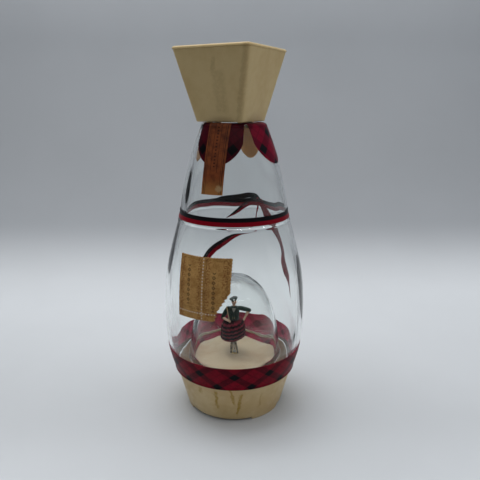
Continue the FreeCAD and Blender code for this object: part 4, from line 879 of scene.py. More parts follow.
def facing(x, radius, height):
    """Points at a sideways place on the front of a circle: y is minus the root of r^2 - x^2."""
    return np.stack(np.broadcast_arrays(x, -np.sqrt(radius ** 2 - x ** 2), height), axis=-1)


# %% [markdown]
# The seal strip runs from under the cap down over the front petal. It is brown paper with a ruled border,
# darker at the top and paler at its worn lower end. Its print is two inner rules and a row of dots, and a
# pale scrap near its foot has lost the brown.

# %% Seal strip
strip_half, strip_length = 8.8, 49.0
strip_brown, strip_dark, strip_rubbed = (0.225, 0.059, 0.018), (0.095, 0.024, 0.010), (0.30, 0.12, 0.04)
strip_line = joined(even(upper_wall, cone_top_z - strip_length, cone_top_z, 50), shoulder_bend[:-2])
strip_across = np.linspace(-strip_half, strip_half, 25)[None, :]
strip_faces = [facing(strip_across, line[:, :1], line[:, 1:])
               for line in (offset(strip_line, over_gap + trim_thickness), offset(strip_line, over_gap))]
strip_run = run_lengths(strip_line)[:, None]
strip_flat = np.stack(np.broadcast_arrays(strip_across, strip_run), axis=-1).reshape(-1, 2)
print("strip", strip_faces[0].shape)

# %% Seal strip paper
strip_paper, graph = finish("strip_paper", Roughness=0.55, Specular_IOR_Level=0.08)
where = graph.sheet()
x, y, _ = graph.parts(where)
paper = graph.use(aged_paper, {"Where": where, "Clean": strip_brown, "Stained": strip_dark,
                               "Rubbed": strip_rubbed})
fade = graph.mix(graph.ramp(y, 1.0, 14.0, 0.75, 0.0), paper[0], (0.40, 0.18, 0.055))
side = graph.calc("ABSOLUTE", x)
rules = graph.strongest(line_at(graph, side, 7.2, 0.25), line_at(graph, side, 5.9, 0.15),
                        graph.times(line_at(graph, side, 2.6, 0.18), graph.ramp(y, 16.0, 17.0)))
dots = graph.times(line_at(graph, graph.calc("FRACT", graph.times(y, 0.4)), 0.5, 0.22),
                   line_at(graph, x, 0.0, 0.7, 0.3), graph.ramp(y, 20.0, 21.0))
inked = graph.paint(fade, graph.strongest(rules, dots), 0.88, (0.022, 0.008, 0.006))
spot = graph.node("ShaderNodeVectorMath", [where, (5.6, 4.8, 0.0)], operation="DISTANCE").outputs["Value"]
ragged = graph.plus(spot, graph.times(graph.noise(where, 0.8, 4.0), 3.0))
inked = graph.mix(graph.ramp(ragged, 3.0, 4.8, 0.85, 0.0), inked, (0.42, 0.28, 0.14))
graph.feed(Base_Color=inked, Normal=graph.bump(paper[1], 0.12))
make("seal_strip", [slab(*strip_faces)], strip_paper, "decanter", ["neck_seal_strip"],
     sheet=np.vstack([strip_flat, strip_flat]))

# %% [markdown]
# The paper stamp is a pair: a perforated row of holes runs down its middle and another along its foot. Its
# right edge keeps half holes from the perforation, and one lower corner is torn off. The left and right
# ends of each row are worked out first, then the columns fill the row evenly. The print is a generic one:
# plain frames, mottled borders and an upright row of lozenges in each half.

# %% Stamp outline and skin
stamp_width, stamp_height = 44.5, 48.7
stamp_tilt = math.radians(-1.0)
stamp_shift = -1.3
belt_width, stamp_drop = 3.3, 22.5
stamp_middle_z = belt_z - belt_width - stamp_drop - stamp_height / 2
tear_rises, tear_depths = np.array([0.0, 8.0, 23.0]), [12.0, 9.5, 0.0]
hole_pitch, hole_edge = 2.4, (0.46, 0.58)
stamp_rows = np.linspace(-stamp_height / 2, stamp_height / 2, 160)
stamp_columns = np.linspace(0, 1, 90)
scallop_depth = 0.6
scallop = scallop_depth * np.abs(np.sin(math.pi * stamp_rows / hole_pitch))
tear = np.interp(stamp_rows, tear_rises - stamp_height / 2, tear_depths)
ragged = 0.5 * np.sin(2.1 * stamp_rows) + 0.3 * np.sin(5.3 * stamp_rows + 1) + 0.2 * np.sin(11.7 * stamp_rows)
right_end = stamp_width / 2 - scallop_depth + scallop - tear + ragged * np.minimum(tear, 1)
left_end = -stamp_width / 2 + 0.1 * np.sin(1.3 * stamp_rows)
stamp_x = left_end[:, None] + (right_end - left_end)[:, None] * stamp_columns
stamp_y = stamp_rows[:, None] + 0 * stamp_x
top_row = (stamp_rows > stamp_height / 2 - 0.4)[:, None]
stamp_y = stamp_y - scallop_depth * top_row * (1 - np.abs(np.sin(math.pi * stamp_x / hole_pitch)))
turned_x = stamp_shift + stamp_x * math.cos(stamp_tilt) + stamp_y * math.sin(stamp_tilt)
turned_z = stamp_middle_z + stamp_y * math.cos(stamp_tilt) - stamp_x * math.sin(stamp_tilt)
stamp_radius = np.interp(turned_z, lower_wall[:, 1], lower_wall[:, 0])
curl_up = np.clip(stamp_y / stamp_height * 2 - 0.7, 0, 1)
curl = 0.5 * curl_up * np.clip(stamp_columns - 0.75, 0, 1)[None, :] * 4
stamp_front = facing(turned_x, stamp_radius + trim_gap + trim_thickness + curl, turned_z)
stamp_back = facing(turned_x, stamp_radius + trim_gap + curl, turned_z)
stamp_flat = np.stack([stamp_x, stamp_y], axis=-1).reshape(-1, 2)
print("stamp", stamp_front.shape)

# %% Marks of the stamp's print
stamp_borders = ((-19.3, 2.6), (-2.6, 1.8), (3.6, 2.4), (18.8, 2.6))
stamp_frames = [((middle, 3.5), half) for middle in (-10.8, 10.8) for half in ((9.2, 19.5), (8.2, 18.5))]
stamp_tan, stamp_dark, stamp_rubbed = (0.53, 0.305, 0.10), (0.37, 0.195, 0.06), (0.52, 0.32, 0.13)
lozenge_pitch, lozenge_reach, lozenge_line = 3.8, 1.15, 0.42


def lozenges(graph, x, y, at, low, high):
    """An upright row of hollow lozenges: |across| + |along|, each from the nearest centre, near one size."""
    along = graph.minus(graph.calc("FRACT", graph.times(y, 1 / lozenge_pitch)), 0.5)
    along = graph.calc("ABSOLUTE", graph.times(along, lozenge_pitch))
    ring = line_at(graph, graph.plus(graph.apart(x, at), along), lozenge_reach, lozenge_line, 0.2)
    return graph.times(ring, graph.ramp(y, low, low + 0.2), graph.ramp(y, high, high + 0.2, 1.0, 0.0))


def hole_row(graph, across, along, at):
    """A row of round holes: the distance to the nearest hole centre on a line, under a radius."""
    step = graph.minus(graph.calc("FRACT", graph.times(along, 1 / hole_pitch)), 0.5)
    reach = graph.calc("SQRT", graph.squares(graph.times(step, hole_pitch), graph.minus(across, at)))
    return graph.ramp(reach, *hole_edge, 1.0, 0.0)


# %% Stamp paper
stamp_paper, graph = finish("stamp_paper", Roughness=0.6, Specular_IOR_Level=0.08)
where = graph.sheet()
x, y, _ = graph.parts(where)
paper = graph.use(aged_paper, {"Where": where, "Clean": stamp_tan, "Stained": stamp_dark,
                               "Rubbed": stamp_rubbed})
mottle = graph.ramp(graph.noise(where, 0.9, 3.0, 0.6), 0.44, 0.6)
borders = graph.strongest(*[line_at(graph, x, at, half, 0.6) for at, half in stamp_borders])
frames = graph.strongest(*[frame_line(graph, x, y, middle, half, 0.2) for middle, half in stamp_frames])
rows = graph.strongest(lozenges(graph, x, y, -12.4, -13.3, 17.1), lozenges(graph, x, y, 9.4, -17.1, 13.3))
holes = graph.strongest(hole_row(graph, x, y, 0.0), hole_row(graph, y, x, -19.0))
edge = graph.strongest(graph.ramp(y, -24.2, -25.0), graph.ramp(graph.calc("ABSOLUTE", x), 21.6, 22.3))
tone = paper[0]
for mask, strength, colour in (
        (graph.times(borders, mottle), 0.75, (0.20, 0.062, 0.022)), (mottle, 0.34, (0.17, 0.065, 0.025)),
        (frames, 0.35, (0.055, 0.028, 0.012)), (rows, 0.85, (0.02, 0.012, 0.016)),
        (holes, 0.95, (0.72, 0.68, 0.60)), (edge, 0.5, (0.30, 0.21, 0.11))):
    tone = graph.paint(tone, mask, strength, colour)
graph.feed(Base_Color=tone, Normal=graph.bump(graph.minus(paper[1], holes), 0.14))
make("body_stamp", [slab(stamp_front, stamp_back)], stamp_paper, "decanter", ["body_stamp"],
     sheet=np.vstack([stamp_flat, stamp_flat]))

# %% [markdown]
# Cap and base are moulded in one ivory plastic that has yellowed with age. The tone drifts slowly over a
# face, fine specks and swirls show in it, and the gloss is uneven. A second group makes a run of something
# brown that dried on it: a narrow upright mark with a wavy edge that fades towards its ends.

# %% Aged plastic and dried run groups
aged_plastic, graph, given = group_of(
    "aged_plastic", {"Where": "Vector", "Fresh": "Color", "Yellowed": "Color"},
    {"Color": "Color", "Roughness": "Float", "Height": "Float"})
drift = graph.noise(given["Where"], 0.03, 3.0, 0.55)
swirl = graph.noise(given["Where"], 0.2, 5.0, 0.6)
speck = graph.noise(given["Where"], 1.6, 2.0)
share = graph.plus(graph.times(drift, 0.8), graph.times(swirl, 0.25))
tone = graph.mix(graph.ramp(share, 0.4, 0.68), given["Fresh"], given["Yellowed"])
tone = graph.mix(graph.ramp(speck, 0.66, 0.74, 0.0, 0.15), tone, (0.16, 0.10, 0.045))
graph.feed(Color=tone, Roughness=graph.ramp(swirl, 0.3, 0.7, 0.3, 0.5),
           Height=graph.plus(swirl, graph.times(speck, 0.2)))

dried_run, graph, given = group_of(
    "dried_run", {"Where": "Vector", "Across": "Float", "Up": "Float", "Centre": "Float", "Half": "Float",
                  "Low": "Float", "High": "Float", "Wander": "Float"}, {"Mask": "Float"})
wobble = graph.minus(graph.noise(given["Where"], 0.2, 4.0, 0.6), 0.5)
wobbled = graph.plus(given["Across"], graph.times(wobble, given["Wander"]))
far = graph.calc("DIVIDE", graph.apart(wobbled, given["Centre"]), given["Half"])
low = graph.ramp(given["Up"], given["Low"], graph.plus(given["Low"], 4.0))
high = graph.ramp(given["Up"], graph.minus(given["High"], 4.0), given["High"], 1.0, 0.0)
patchy = graph.ramp(graph.noise(given["Where"], 0.5, 4.0), 0.3, 0.6, 0.45, 1.0)
graph.feed(Mask=graph.times(graph.ramp(far, 0.35, 1.0, 1.0, 0.0), patchy, low, high))
run_brown, run_ochre = (0.20, 0.10, 0.03), (0.34, 0.21, 0.03)
print("groups", aged_plastic.name, dried_run.name)

# %% [markdown]
# The cap is a square that flares upwards, hollow, with a separate top plate and a round socket for the
# bottle's lip in its foot. A rounded square is a small square pushed outwards by its corner radius: each
# point is a spot on the small square plus the radius times its outward direction. Carried through a list of
# (half side, corner radius, height) that gives the flared skin with its softened edges, and the socket is
# the same ring drawn as a circle.

# %% Rounded square rows
cap_turn = math.radians(-5.2)
cap_low_z, cap_seam_z = [value[2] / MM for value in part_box("cap_shell")]
cap_top_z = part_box("cap_top_plate")[1][2] / MM
cap_low_half, cap_top_half, cap_corner, cap_wall = 20.7, 33.45, 3.6, 2.2
cap_slope = (cap_top_half - cap_low_half) / (cap_top_z - cap_low_z)
cap_edge, cap_top_edge, seam_groove, cap_floor = 0.9, 1.9, 0.25, 2.4
roof_z, socket_radius, socket_outer, socket_top_z = lip_z + 1.2, 15.6, 17.2, lip_z + 3.4
socket_chamfer, plug_radius, plug_length = 0.6, 4.0, 9.0
panel_half, panel_corner, panel_round, panel_sink = 26.0, 2.0, 14.0, 0.15
cap_off_axis = np.array([-2.0, -0.7])

side_share = np.linspace(-1, 1, 17)
bend_turn = np.linspace(0, math.pi / 2, 9)[1:-1]
core = np.vstack([np.stack([np.ones_like(side_share), side_share], axis=-1), np.ones((len(bend_turn), 2))])
push = np.vstack([np.tile([1.0, 0.0], (len(side_share), 1)),
                  np.stack([np.cos(bend_turn), np.sin(bend_turn)], axis=-1)])
quarter_turns = [np.array([[math.cos(a), math.sin(a)], [-math.sin(a), math.cos(a)]])
                 for a in cap_turn + np.arange(4) * math.pi / 2]
core = np.vstack([core @ turn for turn in quarter_turns])
push = np.vstack([push @ turn for turn in quarter_turns])
cap_shift = cap_off_axis @ quarter_turns[0]
round_way = unit(core + 0.1 * push)
print("points round the cap:", len(core))


def at_heights(flat, height):
    """Flat points with one height for each row."""
    return np.concatenate([flat, height + 0 * flat[..., :1]], axis=-1)


def square_rows(rows):
    """Rows of (half side, corner radius, height): (half - corner) x core + corner x push, at that height, all
    moved a little off the axis, as the cap's square is."""
    half, corner, height = np.asarray(rows, float).T[:, :, None, None]
    return at_heights((half - corner) * core + corner * push + cap_shift, height)


def round_rows(rows):
    """Rows of (radius, height) as circles with as many points as the square."""
    radius, height = np.asarray(rows, float).T[:, :, None, None]
    return at_heights(radius * round_way, height)


def cap_half(height):
    """Half the cap's side at a height: it grows evenly from the foot to the top."""
    return cap_low_half + cap_slope * (height - cap_low_z)


def edge_rows(half, drawn, heights):
    """Rows of a soft edge: half side and corner radius drawn in by the same amount at each height."""
    return [(half - d, cap_corner - d, z) for d, z in zip(drawn, heights)]


# %% Cap shell and top plate
low_turn = np.linspace(0, math.pi / 2, 6)
low_edge = edge_rows(cap_half(cap_low_z + cap_edge), cap_edge * (1 - np.sin(low_turn)),
                     cap_low_z + cap_edge * (1 - np.cos(low_turn)))
seam_half = cap_half(cap_seam_z)
walls = [(cap_half(z), cap_corner, z) for z in np.linspace(cap_low_z + 2, cap_seam_z - seam_groove, 30)]
floor_z = cap_low_z + cap_floor
rim = [(seam_half - seam_groove, cap_corner, cap_seam_z), (seam_half - cap_wall, cap_corner - 1, cap_seam_z),
       (cap_half(floor_z) - cap_wall, cap_corner - 1, floor_z)]
shell_grid = np.vstack([
    round_rows([(0, roof_z - plug_length), (plug_radius, roof_z - plug_length), (plug_radius, roof_z),
                (socket_radius, roof_z), (socket_radius, cap_low_z + socket_chamfer),
                (socket_radius + socket_chamfer, cap_low_z)]),
    square_rows(low_edge + walls + rim),
    round_rows([(socket_outer, floor_z), (socket_outer, socket_top_z), (0, socket_top_z)])])

top_low = [(seam_half - seam_groove, cap_corner, cap_seam_z),
           (cap_half(cap_seam_z + seam_groove), cap_corner, cap_seam_z + seam_groove)]
under_round = 16.0
top_turn = np.linspace(0, math.pi / 2, 9)
top_edge = edge_rows(cap_half(cap_top_z), cap_top_edge * (1 - np.cos(top_turn)),
                     cap_top_z - cap_top_edge + cap_top_edge * np.sin(top_turn))
top_grid = np.vstack([
    round_rows([(0, cap_seam_z), (under_round, cap_seam_z)]), square_rows(top_low + top_edge),
    square_rows([(panel_half, panel_corner, cap_top_z - panel_sink)]),
    round_rows([(panel_round, cap_top_z - 2 * panel_sink), (0, cap_top_z - 2 * panel_sink)])])
print("cap grids", shell_grid.shape, top_grid.shape)

# %% Cap plastic
def ivory(name, fresh, yellowed, runs, stain, wander, place):
    """The aged ivory with dried runs: place turns millimetres into how far across and up a spot is. A run is
    (centre, half width, low, high, depth, lean), and its centre moves sideways by lean for each mm up."""
    material, graph = finish(name, Specular_IOR_Level=0.2)
    where = graph.millimetres()
    plastic = graph.use(aged_plastic, {"Where": where, "Fresh": fresh, "Yellowed": yellowed})
    across, up = place(graph, where)
    tone = plastic[0]
    for centre, half, low, high, depth, lean in runs:
        upright = graph.minus(across, graph.times(graph.minus(up, low), lean))
        mark = graph.use(dried_run, {"Where": where, "Across": upright, "Up": up, "Centre": centre,
                                     "Half": half, "Low": low, "High": high, "Wander": wander})[0]
        tone = graph.paint(tone, mark, depth, stain)
    graph.feed(Base_Color=tone, Roughness=plastic[1], Normal=graph.bump(plastic[2], 0.06))
    return material


def across_cap(graph, where):
    """How far along the front face: x turned with the cap, pushed far away on the other faces."""
    x, y, z = graph.parts(where)
    along = graph.plus(graph.times(x, math.cos(cap_turn)), graph.times(y, math.sin(cap_turn)))
    depth = graph.minus(graph.times(y, math.cos(cap_turn)), graph.times(x, math.sin(cap_turn)))
    return graph.plus(along, graph.ramp(depth, -20.0, -19.0, 0.0, 400.0)), z


# The first two runs are a brown smear on the front face. The third is a faint brown band over the whole
# height, a few millimetres in from the front face's corner with the right-hand face, leaning out with the
# flare.
cap_runs = [(-2.0, 2.4, 279.0, 293.0, 0.22, 0.25), (3.2, 7.4, 250.0, 284.0, 0.2, 0.0),
            (14.4, 3.0, cap_low_z - 6, cap_top_z + 6, 0.2, cap_slope)]
cap_plastic = ivory("cap_plastic", (0.70, 0.535, 0.27), (0.64, 0.47, 0.225), cap_runs, run_brown, 5.0,
                    across_cap)
for name, grid in (("cap_shell", shell_grid), ("cap_top_plate", top_grid)):
    cap_skin = skin(grid, poles=(True, True))
    make(name, [cap_skin], cap_plastic, "stopper", [name], crease_deg=50)

# %% [markdown]
# The base is a plain tapered cup. Three shallow reliefs under it leave three feet, so its lowest rows are
# lifted by a step that depends on the turn. Inside, a ledge carries the stage, and three bosses take the
# screws of the bottom plate.

# %% Base cup
base_rim_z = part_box("base_cup")[1][2] / MM
foot_radius, rim_radius, base_wall, skirt_radius = 41.6, 51.2, 2.6, 39.2
plate_top_z, ledge_z, haunch_z = 9.6, base_rim_z - 2.4, base_rim_z - 9.4
relief_depth, relief_fade, relief_pitch = 1.8, 3.2, math.radians(120)
foot_arc, first_foot = math.radians(40), math.radians(314)
foot_edge, rim_edge, ledge_width = 0.5, 0.8, 3.0
boss_hole, boss_radius, boss_height, boss_circle, boss_sink = 1.35, 3.2, 11.0, 35.6, 0.1
run_radius = 45.0


def cup_radius(height):
    """The cup's outer radius at a height: it grows evenly from the foot to the rim."""
    return foot_radius + (rim_radius - foot_radius) * height / base_rim_z


rim_inner, rim_edge_z = rim_radius - base_wall, base_rim_z - rim_edge
cup_line = joined(
    [(skirt_radius, 0)], quarter((foot_radius - foot_edge, 0), (cup_radius(foot_edge), foot_edge), True, 5),
    [(cup_radius(z), z) for z in np.linspace(1.6, base_rim_z - 1.2, 16)],
    quarter((cup_radius(rim_edge_z), rim_edge_z), (rim_radius - rim_edge, base_rim_z), False, 6),
    [(rim_inner, base_rim_z), (rim_inner, ledge_z), (rim_inner - ledge_width, ledge_z),
     (cup_radius(haunch_z) - base_wall, haunch_z), (cup_radius(plate_top_z) - base_wall, plate_top_z),
     (skirt_radius, plate_top_z)])
cup_grid = lathe(cup_line, 540)
cup_turn = np.mod(np.arctan2(cup_grid[..., 1], cup_grid[..., 0]) - first_foot, relief_pitch)
edge_soft = math.radians(0.5)
on_foot = np.clip((foot_arc - cup_turn) / edge_soft + 0.5, 0, 1) * np.clip(cup_turn / edge_soft + 0.5, 0, 1)
cup_grid[..., 2] += (1 - on_foot) * relief_depth * np.clip(1 - cup_grid[..., 2] / relief_fade, 0, 1)

boss_low_z, boss_top_z = plate_top_z - boss_sink, plate_top_z + boss_height
boss_line = np.array([(boss_hole, boss_low_z), (boss_radius, boss_low_z), (boss_radius, boss_top_z),
                      (boss_hole, boss_top_z)])
boss_grid = lathe(boss_line, 24)
boss_places = ring_points(boss_circle, np.radians([20.0, 140.0, 260.0]), 0.0)
bosses = [skin(boss_grid + place, loop=True) for place in boss_places]
cup = skin(cup_grid, loop=True)
print("cup", cup_grid.shape, "and", len(bosses), "bosses")

# %% Base plastic
def across_base(graph, where):
    """How far round the base from the camera side, as an arc in millimetres, and the height."""
    x, y, z = graph.parts(where)
    turn = graph.minus(graph.calc("ARCTAN2", y, x), front_turn)
    return graph.times(turn, run_radius), z


# The last entry is no narrow run: it makes the front of the cup faintly darker and more ochre from the foot
# to about half way up, fading out above.
base_runs = [(-27.5, 1.6, 24.0, 34.0, 0.65, 0.0), (-14.0, 1.6, 11.0, 34.0, 0.85, 0.0),
             (0.2, 1.5, 16.0, 38.0, 0.8, -0.18), (2.2, 1.8, 5.0, 32.0, 0.85, 0.11),
             (2.9, 1.2, 8.0, 24.0, 0.6, 0.0), (21.4, 1.3, 11.0, 29.0, 0.45, 0.0),
             (-2.0, 22.0, -8.0, 20.0, 0.16, 0.0)]
base_plastic = ivory("base_plastic", (0.615, 0.475, 0.26), (0.535, 0.385, 0.19), base_runs, run_ochre,
                     6.0, across_base)
make("base_cup", [cup] + bosses, base_plastic, "decanter", ["base_cup"])

# %% [markdown]
# The stage is a turned plate that sits up inside the dome like a plinth. Its top is a paler, duller plastic
# with fine turning marks and dust near the edge.

# %% Stage
stage_top_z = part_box("stage_plate")[1][2] / MM
stage_radius, stage_skirt, stage_flange, stage_thickness = 35.4, 33.4, 48.4, 2.0
stage_edge, stage_fillet, bush_hole, bush_seat, seat_depth = 1.0, 0.8, 2.85, 4.05, 0.9
stage_under_z, seat_z = stage_top_z - stage_thickness, stage_top_z - seat_depth
stage_line = joined(
    [(bush_hole, stage_under_z), (stage_skirt, stage_under_z), (stage_skirt, ledge_z),
     (stage_flange, ledge_z), (stage_flange, base_rim_z)],
    quarter((stage_radius + stage_fillet, base_rim_z), (stage_radius, base_rim_z + stage_fillet), True, 5),
    quarter((stage_radius, stage_top_z - stage_edge), (stage_radius - stage_edge, stage_top_z), False, 7),
    [(bush_seat, stage_top_z), (bush_seat, seat_z), (bush_hole, seat_z)])
stage_plastic, graph = finish("stage_plastic", Specular_IOR_Level=0.35)
where = graph.millimetres()
plastic = graph.use(aged_plastic, {"Where": where, "Fresh": (0.495, 0.38, 0.265),
                                   "Yellowed": (0.435, 0.315, 0.21)})
x, y, _ = graph.parts(where)
out = graph.calc("SQRT", graph.squares(x, y))
rings = graph.calc("SINE", graph.times(out, 9.0))
dust = graph.times(graph.ramp(out, 27.0, 34.0), graph.ramp(graph.noise(where, 0.5, 5.0), 0.4, 0.7))
tone = graph.paint(plastic[0], dust, 0.5, (0.42, 0.40, 0.36))
graph.feed(Base_Color=tone, Roughness=graph.plus(plastic[1], 0.15),
           Normal=graph.bump(graph.plus(plastic[2], graph.times(rings, 0.08)), 0.1))
make("stage_plate", [skin(lathe(stage_line), loop=True)], stage_plastic, "decanter",
     ["stage_plate"])

# %% [markdown]
# The dancer is a small dressed doll, just over 50 mm tall, on a wire that turns with the movement. A doll
# this size is made of simple forms: tubes for limbs, a pleated cone, a padded ellipse, an egg. A tube is a
# ring carried along a smooth path. The ring's two directions are square to the path, and half balls close it.

# %% Tubes and balls
figure_turn = math.radians(24.0)


def faced(grid):
    """Turn points from the front plane to the way the dancer faces."""
    x, y, z = np.moveaxis(np.asarray(grid, float), -1, 0)
    c, s = math.cos(figure_turn), math.sin(figure_turn)
    return np.stack([x * c - y * s, x * s + y * c, z], axis=-1)


def tube(path, radii, columns=18, flat=1.0):
    """A closed round limb along a path: centre + radius (u cos t + flat v sin t), and a half ball at each
    end, where the centre moves on by r sin a while the radius falls as r cos a."""
    path = np.asarray(path, float)
    radii = np.interp(np.linspace(0, 1, len(path)), np.linspace(0, 1, len(radii)), radii)
    way = unit(np.gradient(path, axis=0))
    bend = np.linspace(0, math.pi / 2, 6)[1:]
    caps = len(bend)
    start = path[0] - way[0] * radii[0] * np.sin(bend)[::-1, None]
    stop = path[-1] + way[-1] * radii[-1] * np.sin(bend)[:, None]
    centres = np.vstack([start, path, stop])
    sizes = np.concatenate([radii[0] * np.cos(bend)[::-1], radii, radii[-1] * np.cos(bend)])
    ways = np.vstack([np.tile(way[0], (caps, 1)), way, np.tile(way[-1], (caps, 1))])
    helper = np.array([0.13, 0.97, 0.2]) if abs(way[0][1]) < 0.7 else np.array([0.97, 0.13, 0.2])
    u = unit(np.cross(ways, helper))
    v = np.cross(ways, u)
    turn = round_turns(columns)[None, :, None]
    ring = u[:, None] * np.cos(turn) + flat * v[:, None] * np.sin(turn)
    return egg_skin(centres[:, None] + sizes[:, None, None] * ring)


def ball_grid(rows, columns):
    """Unit directions of an egg's rows, from the lower pole to the upper one."""
    tilt = np.linspace(-math.pi / 2, math.pi / 2, rows)[:, None]
    return ring_points(np.cos(tilt), round_turns(columns), np.sin(tilt))


def egg_skin(grid):
    """The skin of a grid with a pole at each end, turned the way the dancer faces."""
    return skin(faced(grid), poles=(True, True))


def ball(centre, size, rows=13, columns=20):
    """An egg round a centre, with its three half sizes."""
    return egg_skin(np.asarray(centre) + ball_grid(rows, columns) * np.asarray(size))


# %% [markdown]
# Doll finishes: painted skin with a faint blush, and woven cloth. Cloth at this scale shows threads of
# about a third of a millimetre, and folds do the rest. The weave is a group, because the jacket, the kilt,
# the hat and the hose all use it.

# %% Weave group and doll finishes
weave, graph, given = group_of(
    "weave", {"Where": "Vector", "Threads": "Float"}, {"Shade": "Float", "Height": "Float"})
x, y, z = graph.parts(given["Where"])
warp = graph.calc("SINE", graph.times(graph.plus(x, y), given["Threads"]))
weft = graph.calc("SINE", graph.times(z, given["Threads"]))
thread = graph.times(warp, weft)
fuzz = graph.noise(given["Where"], 1.5, 4.0)
shade = graph.plus(graph.ramp(thread, -1.0, 1.0, 0.72, 1.0), graph.ramp(fuzz, 0.3, 0.7, -0.12, 0.12))
graph.feed(Shade=shade, Height=graph.plus(thread, fuzz))


def cloth(name, colour, worn, threads=16.0):
    """Dull woven cloth in two tones that change in patches."""
    material, graph = finish(name, Roughness=0.85, Specular_IOR_Level=0.2, Sheen_Weight=0.15)
    where = graph.millimetres()
    woven = graph.use(weave, {"Where": where, "Threads": threads})
    tone = graph.mix(graph.ramp(graph.noise(where, 0.4, 4.0), 0.4, 0.7), colour, worn)
    graph.feed(Base_Color=graph.scaled(tone, woven[0]), Normal=graph.bump(woven[1], 0.04))
    return material


def painted(name, colour, blush, rough=0.45):
    """Paint in two tones that change in patches, with an uneven gloss."""
    material, graph = finish(name, Roughness=rough, Specular_IOR_Level=0.4)
    where = graph.millimetres()
    tone = graph.mix(graph.ramp(graph.noise(where, 0.5, 3.0), 0.35, 0.7), colour, blush)
    graph.feed(Base_Color=tone, Normal=graph.bump(graph.noise(where, 3.0, 3.0), 0.02),
               Roughness=graph.ramp(graph.noise(where, 1.1, 3.0), 0.3, 0.7, rough - 0.1, rough + 0.1))
    return material


doll_skin = painted("doll_skin", (0.56, 0.38, 0.28), (0.50, 0.30, 0.21))
black_paint = painted("black_paint", (0.012, 0.011, 0.012), (0.03, 0.026, 0.025), 0.4)
pale_hose = cloth("pale_hose", (0.34, 0.29, 0.22), (0.26, 0.215, 0.16), 20.0)
green_cloth = cloth("green_cloth", (0.004, 0.018, 0.012), (0.008, 0.030, 0.021))
hat_felt = cloth("hat_felt", (0.035, 0.05, 0.047), (0.07, 0.085, 0.08), 22.0)
white_linen = cloth("white_linen", (0.30, 0.29, 0.26), (0.24, 0.22, 0.19), 20.0)
print("finishes", len(bpy.data.materials))

# %% [markdown]
# Legs and laced shoes. The calf swells to the back. The dark laces cross up the shin: two helices that run
# opposite ways round the leg, a thread thick.

# %% Legs
stage_feet_z = stage_top_z + 0.4
kilt_low_z, kilt_top_z = stage_top_z + 15.4, stage_top_z + 31.4
ankle_z, hip_z = stage_feet_z + 0.7, kilt_top_z - 2.1
leg_shares = np.array([0.0, 0.12, 0.27, 0.45, 0.75, 1.0])
leg_radii = np.array([0.72, 0.85, 1.12, 0.8, 1.1, 1.3])
stance, lace_turns = 3.1, 1.75


def leg_middle(side, share):
    """The middle line of a leg: in from the ankle to the knee, a little out again to the hip, with the calf
    to the back. The legs stand in front of the spindle."""
    x = side * np.interp(share, [0, 0.45, 1], [stance, 1.05, 1.5])
    back = 0.2 * np.exp(-((share - 0.27) / 0.1) ** 2) - 1.75
    return np.stack([x, back, ankle_z + (hip_z - ankle_z) * share], axis=-1)


def lace(side, way):
    """A helix on the shin: leg middle + leg radius (cos t, sin t), for most of two turns."""
    share = np.linspace(0.03, 0.36, 60)
    turn = math.pi / 2 + way * np.linspace(0, lace_turns * 2 * math.pi, 60)
    radius = np.interp(share, leg_shares, leg_radii) + 0.06
    round_leg = np.stack([np.cos(turn), np.sin(turn), 0 * turn], axis=-1)
    return tube(leg_middle(side, share) + radius[:, None] * round_leg, [0.2], 8)


def shoe(side):
    """An egg with a flat sole, narrower towards the toe."""
    grid = ball_grid(17, 28) * (0.76, 1.6, 0.9)
    grid[..., 0] *= 1 + 0.06 * grid[..., 1]
    grid += (side * stance, -2.3, stage_feet_z + 0.6)
    grid[..., 2] = np.maximum(grid[..., 2], stage_feet_z)
    return egg_skin(grid)


leg_share = np.linspace(0, 1, 40)
leg_radius = np.interp(leg_share, leg_shares, leg_radii)
legs = [tube(leg_middle(side, leg_share), leg_radius, 22) for side in (-1, 1)]
shoes = [shoe(side) for side in (-1, 1)]
laces = [lace(side, way) for side in (-1, 1) for way in (-1, 1)]
make("dancer_legs", legs, pale_hose, "dancer", ["dancer_legs"])
make("dancer_shoes", shoes + laces, black_paint, "dancer")

# %% [markdown]
# The kilt is a pleated cone with a flat apron at the front. A knife pleat is a saw tooth: it rises slowly
# and falls at once, and here it is softened by an arc tangent of sines. The pleats are shallow at the
# waist and deep at the hem, and they fade out on the apron. Inside, the skin is smooth. The cloth is tartan
# with dark rows that slope to one side and wave with the pleats.

# %% Kilt
kilt_columns, kilt_pleats, pleat_depth, hem_slope, hem_shift = 480, 20, 0.9, 0.13, 1.8
pleat_bite, apron_half, waistband, spindle_hole = 0.85, 0.75, 2.0, 0.78
band_z = kilt_top_z - waistband
kilt_line = smooth_line([(7.2, kilt_top_z), (9.2, kilt_top_z - 1.9), (11.0, kilt_top_z - 5.2),
                         (11.5, kilt_low_z + 6.0), (11.9, kilt_low_z)], 40)
kilt_inner = np.array([(9.3, kilt_low_z), (9.6, kilt_low_z + 6), (5.6, band_z), (spindle_hole, band_z),
                       (spindle_hole, kilt_top_z)])
kilt_turn = round_turns(kilt_columns)
front = np.exp(-(np.angle(np.exp(1j * (kilt_turn + math.pi / 2))) / apron_half) ** 4)
saw = kilt_turn * kilt_pleats
saw = (np.arctan2(pleat_bite * np.sin(saw), 1 - pleat_bite * np.cos(saw)) / 1.02 + 1) / 2
drop = (kilt_top_z - kilt_line[:, 1:]) / (kilt_top_z - kilt_low_z)
fold = pleat_depth * (0.25 + 0.75 * drop) * (saw * (1 - front) + 0.3 * front)
kilt_radius = kilt_line[:, :1] - fold + 0.25 * drop * (np.sin(3 * kilt_turn + 0.6) - 1)
kilt_skin = ring_points(kilt_radius, kilt_turn, kilt_line[:, 1:])
kilt_grid = np.vstack([kilt_skin, lathe(kilt_inner, kilt_columns)])
swing = np.clip((band_z - kilt_grid[..., 2]) / (band_z - kilt_low_z), 0, 1)
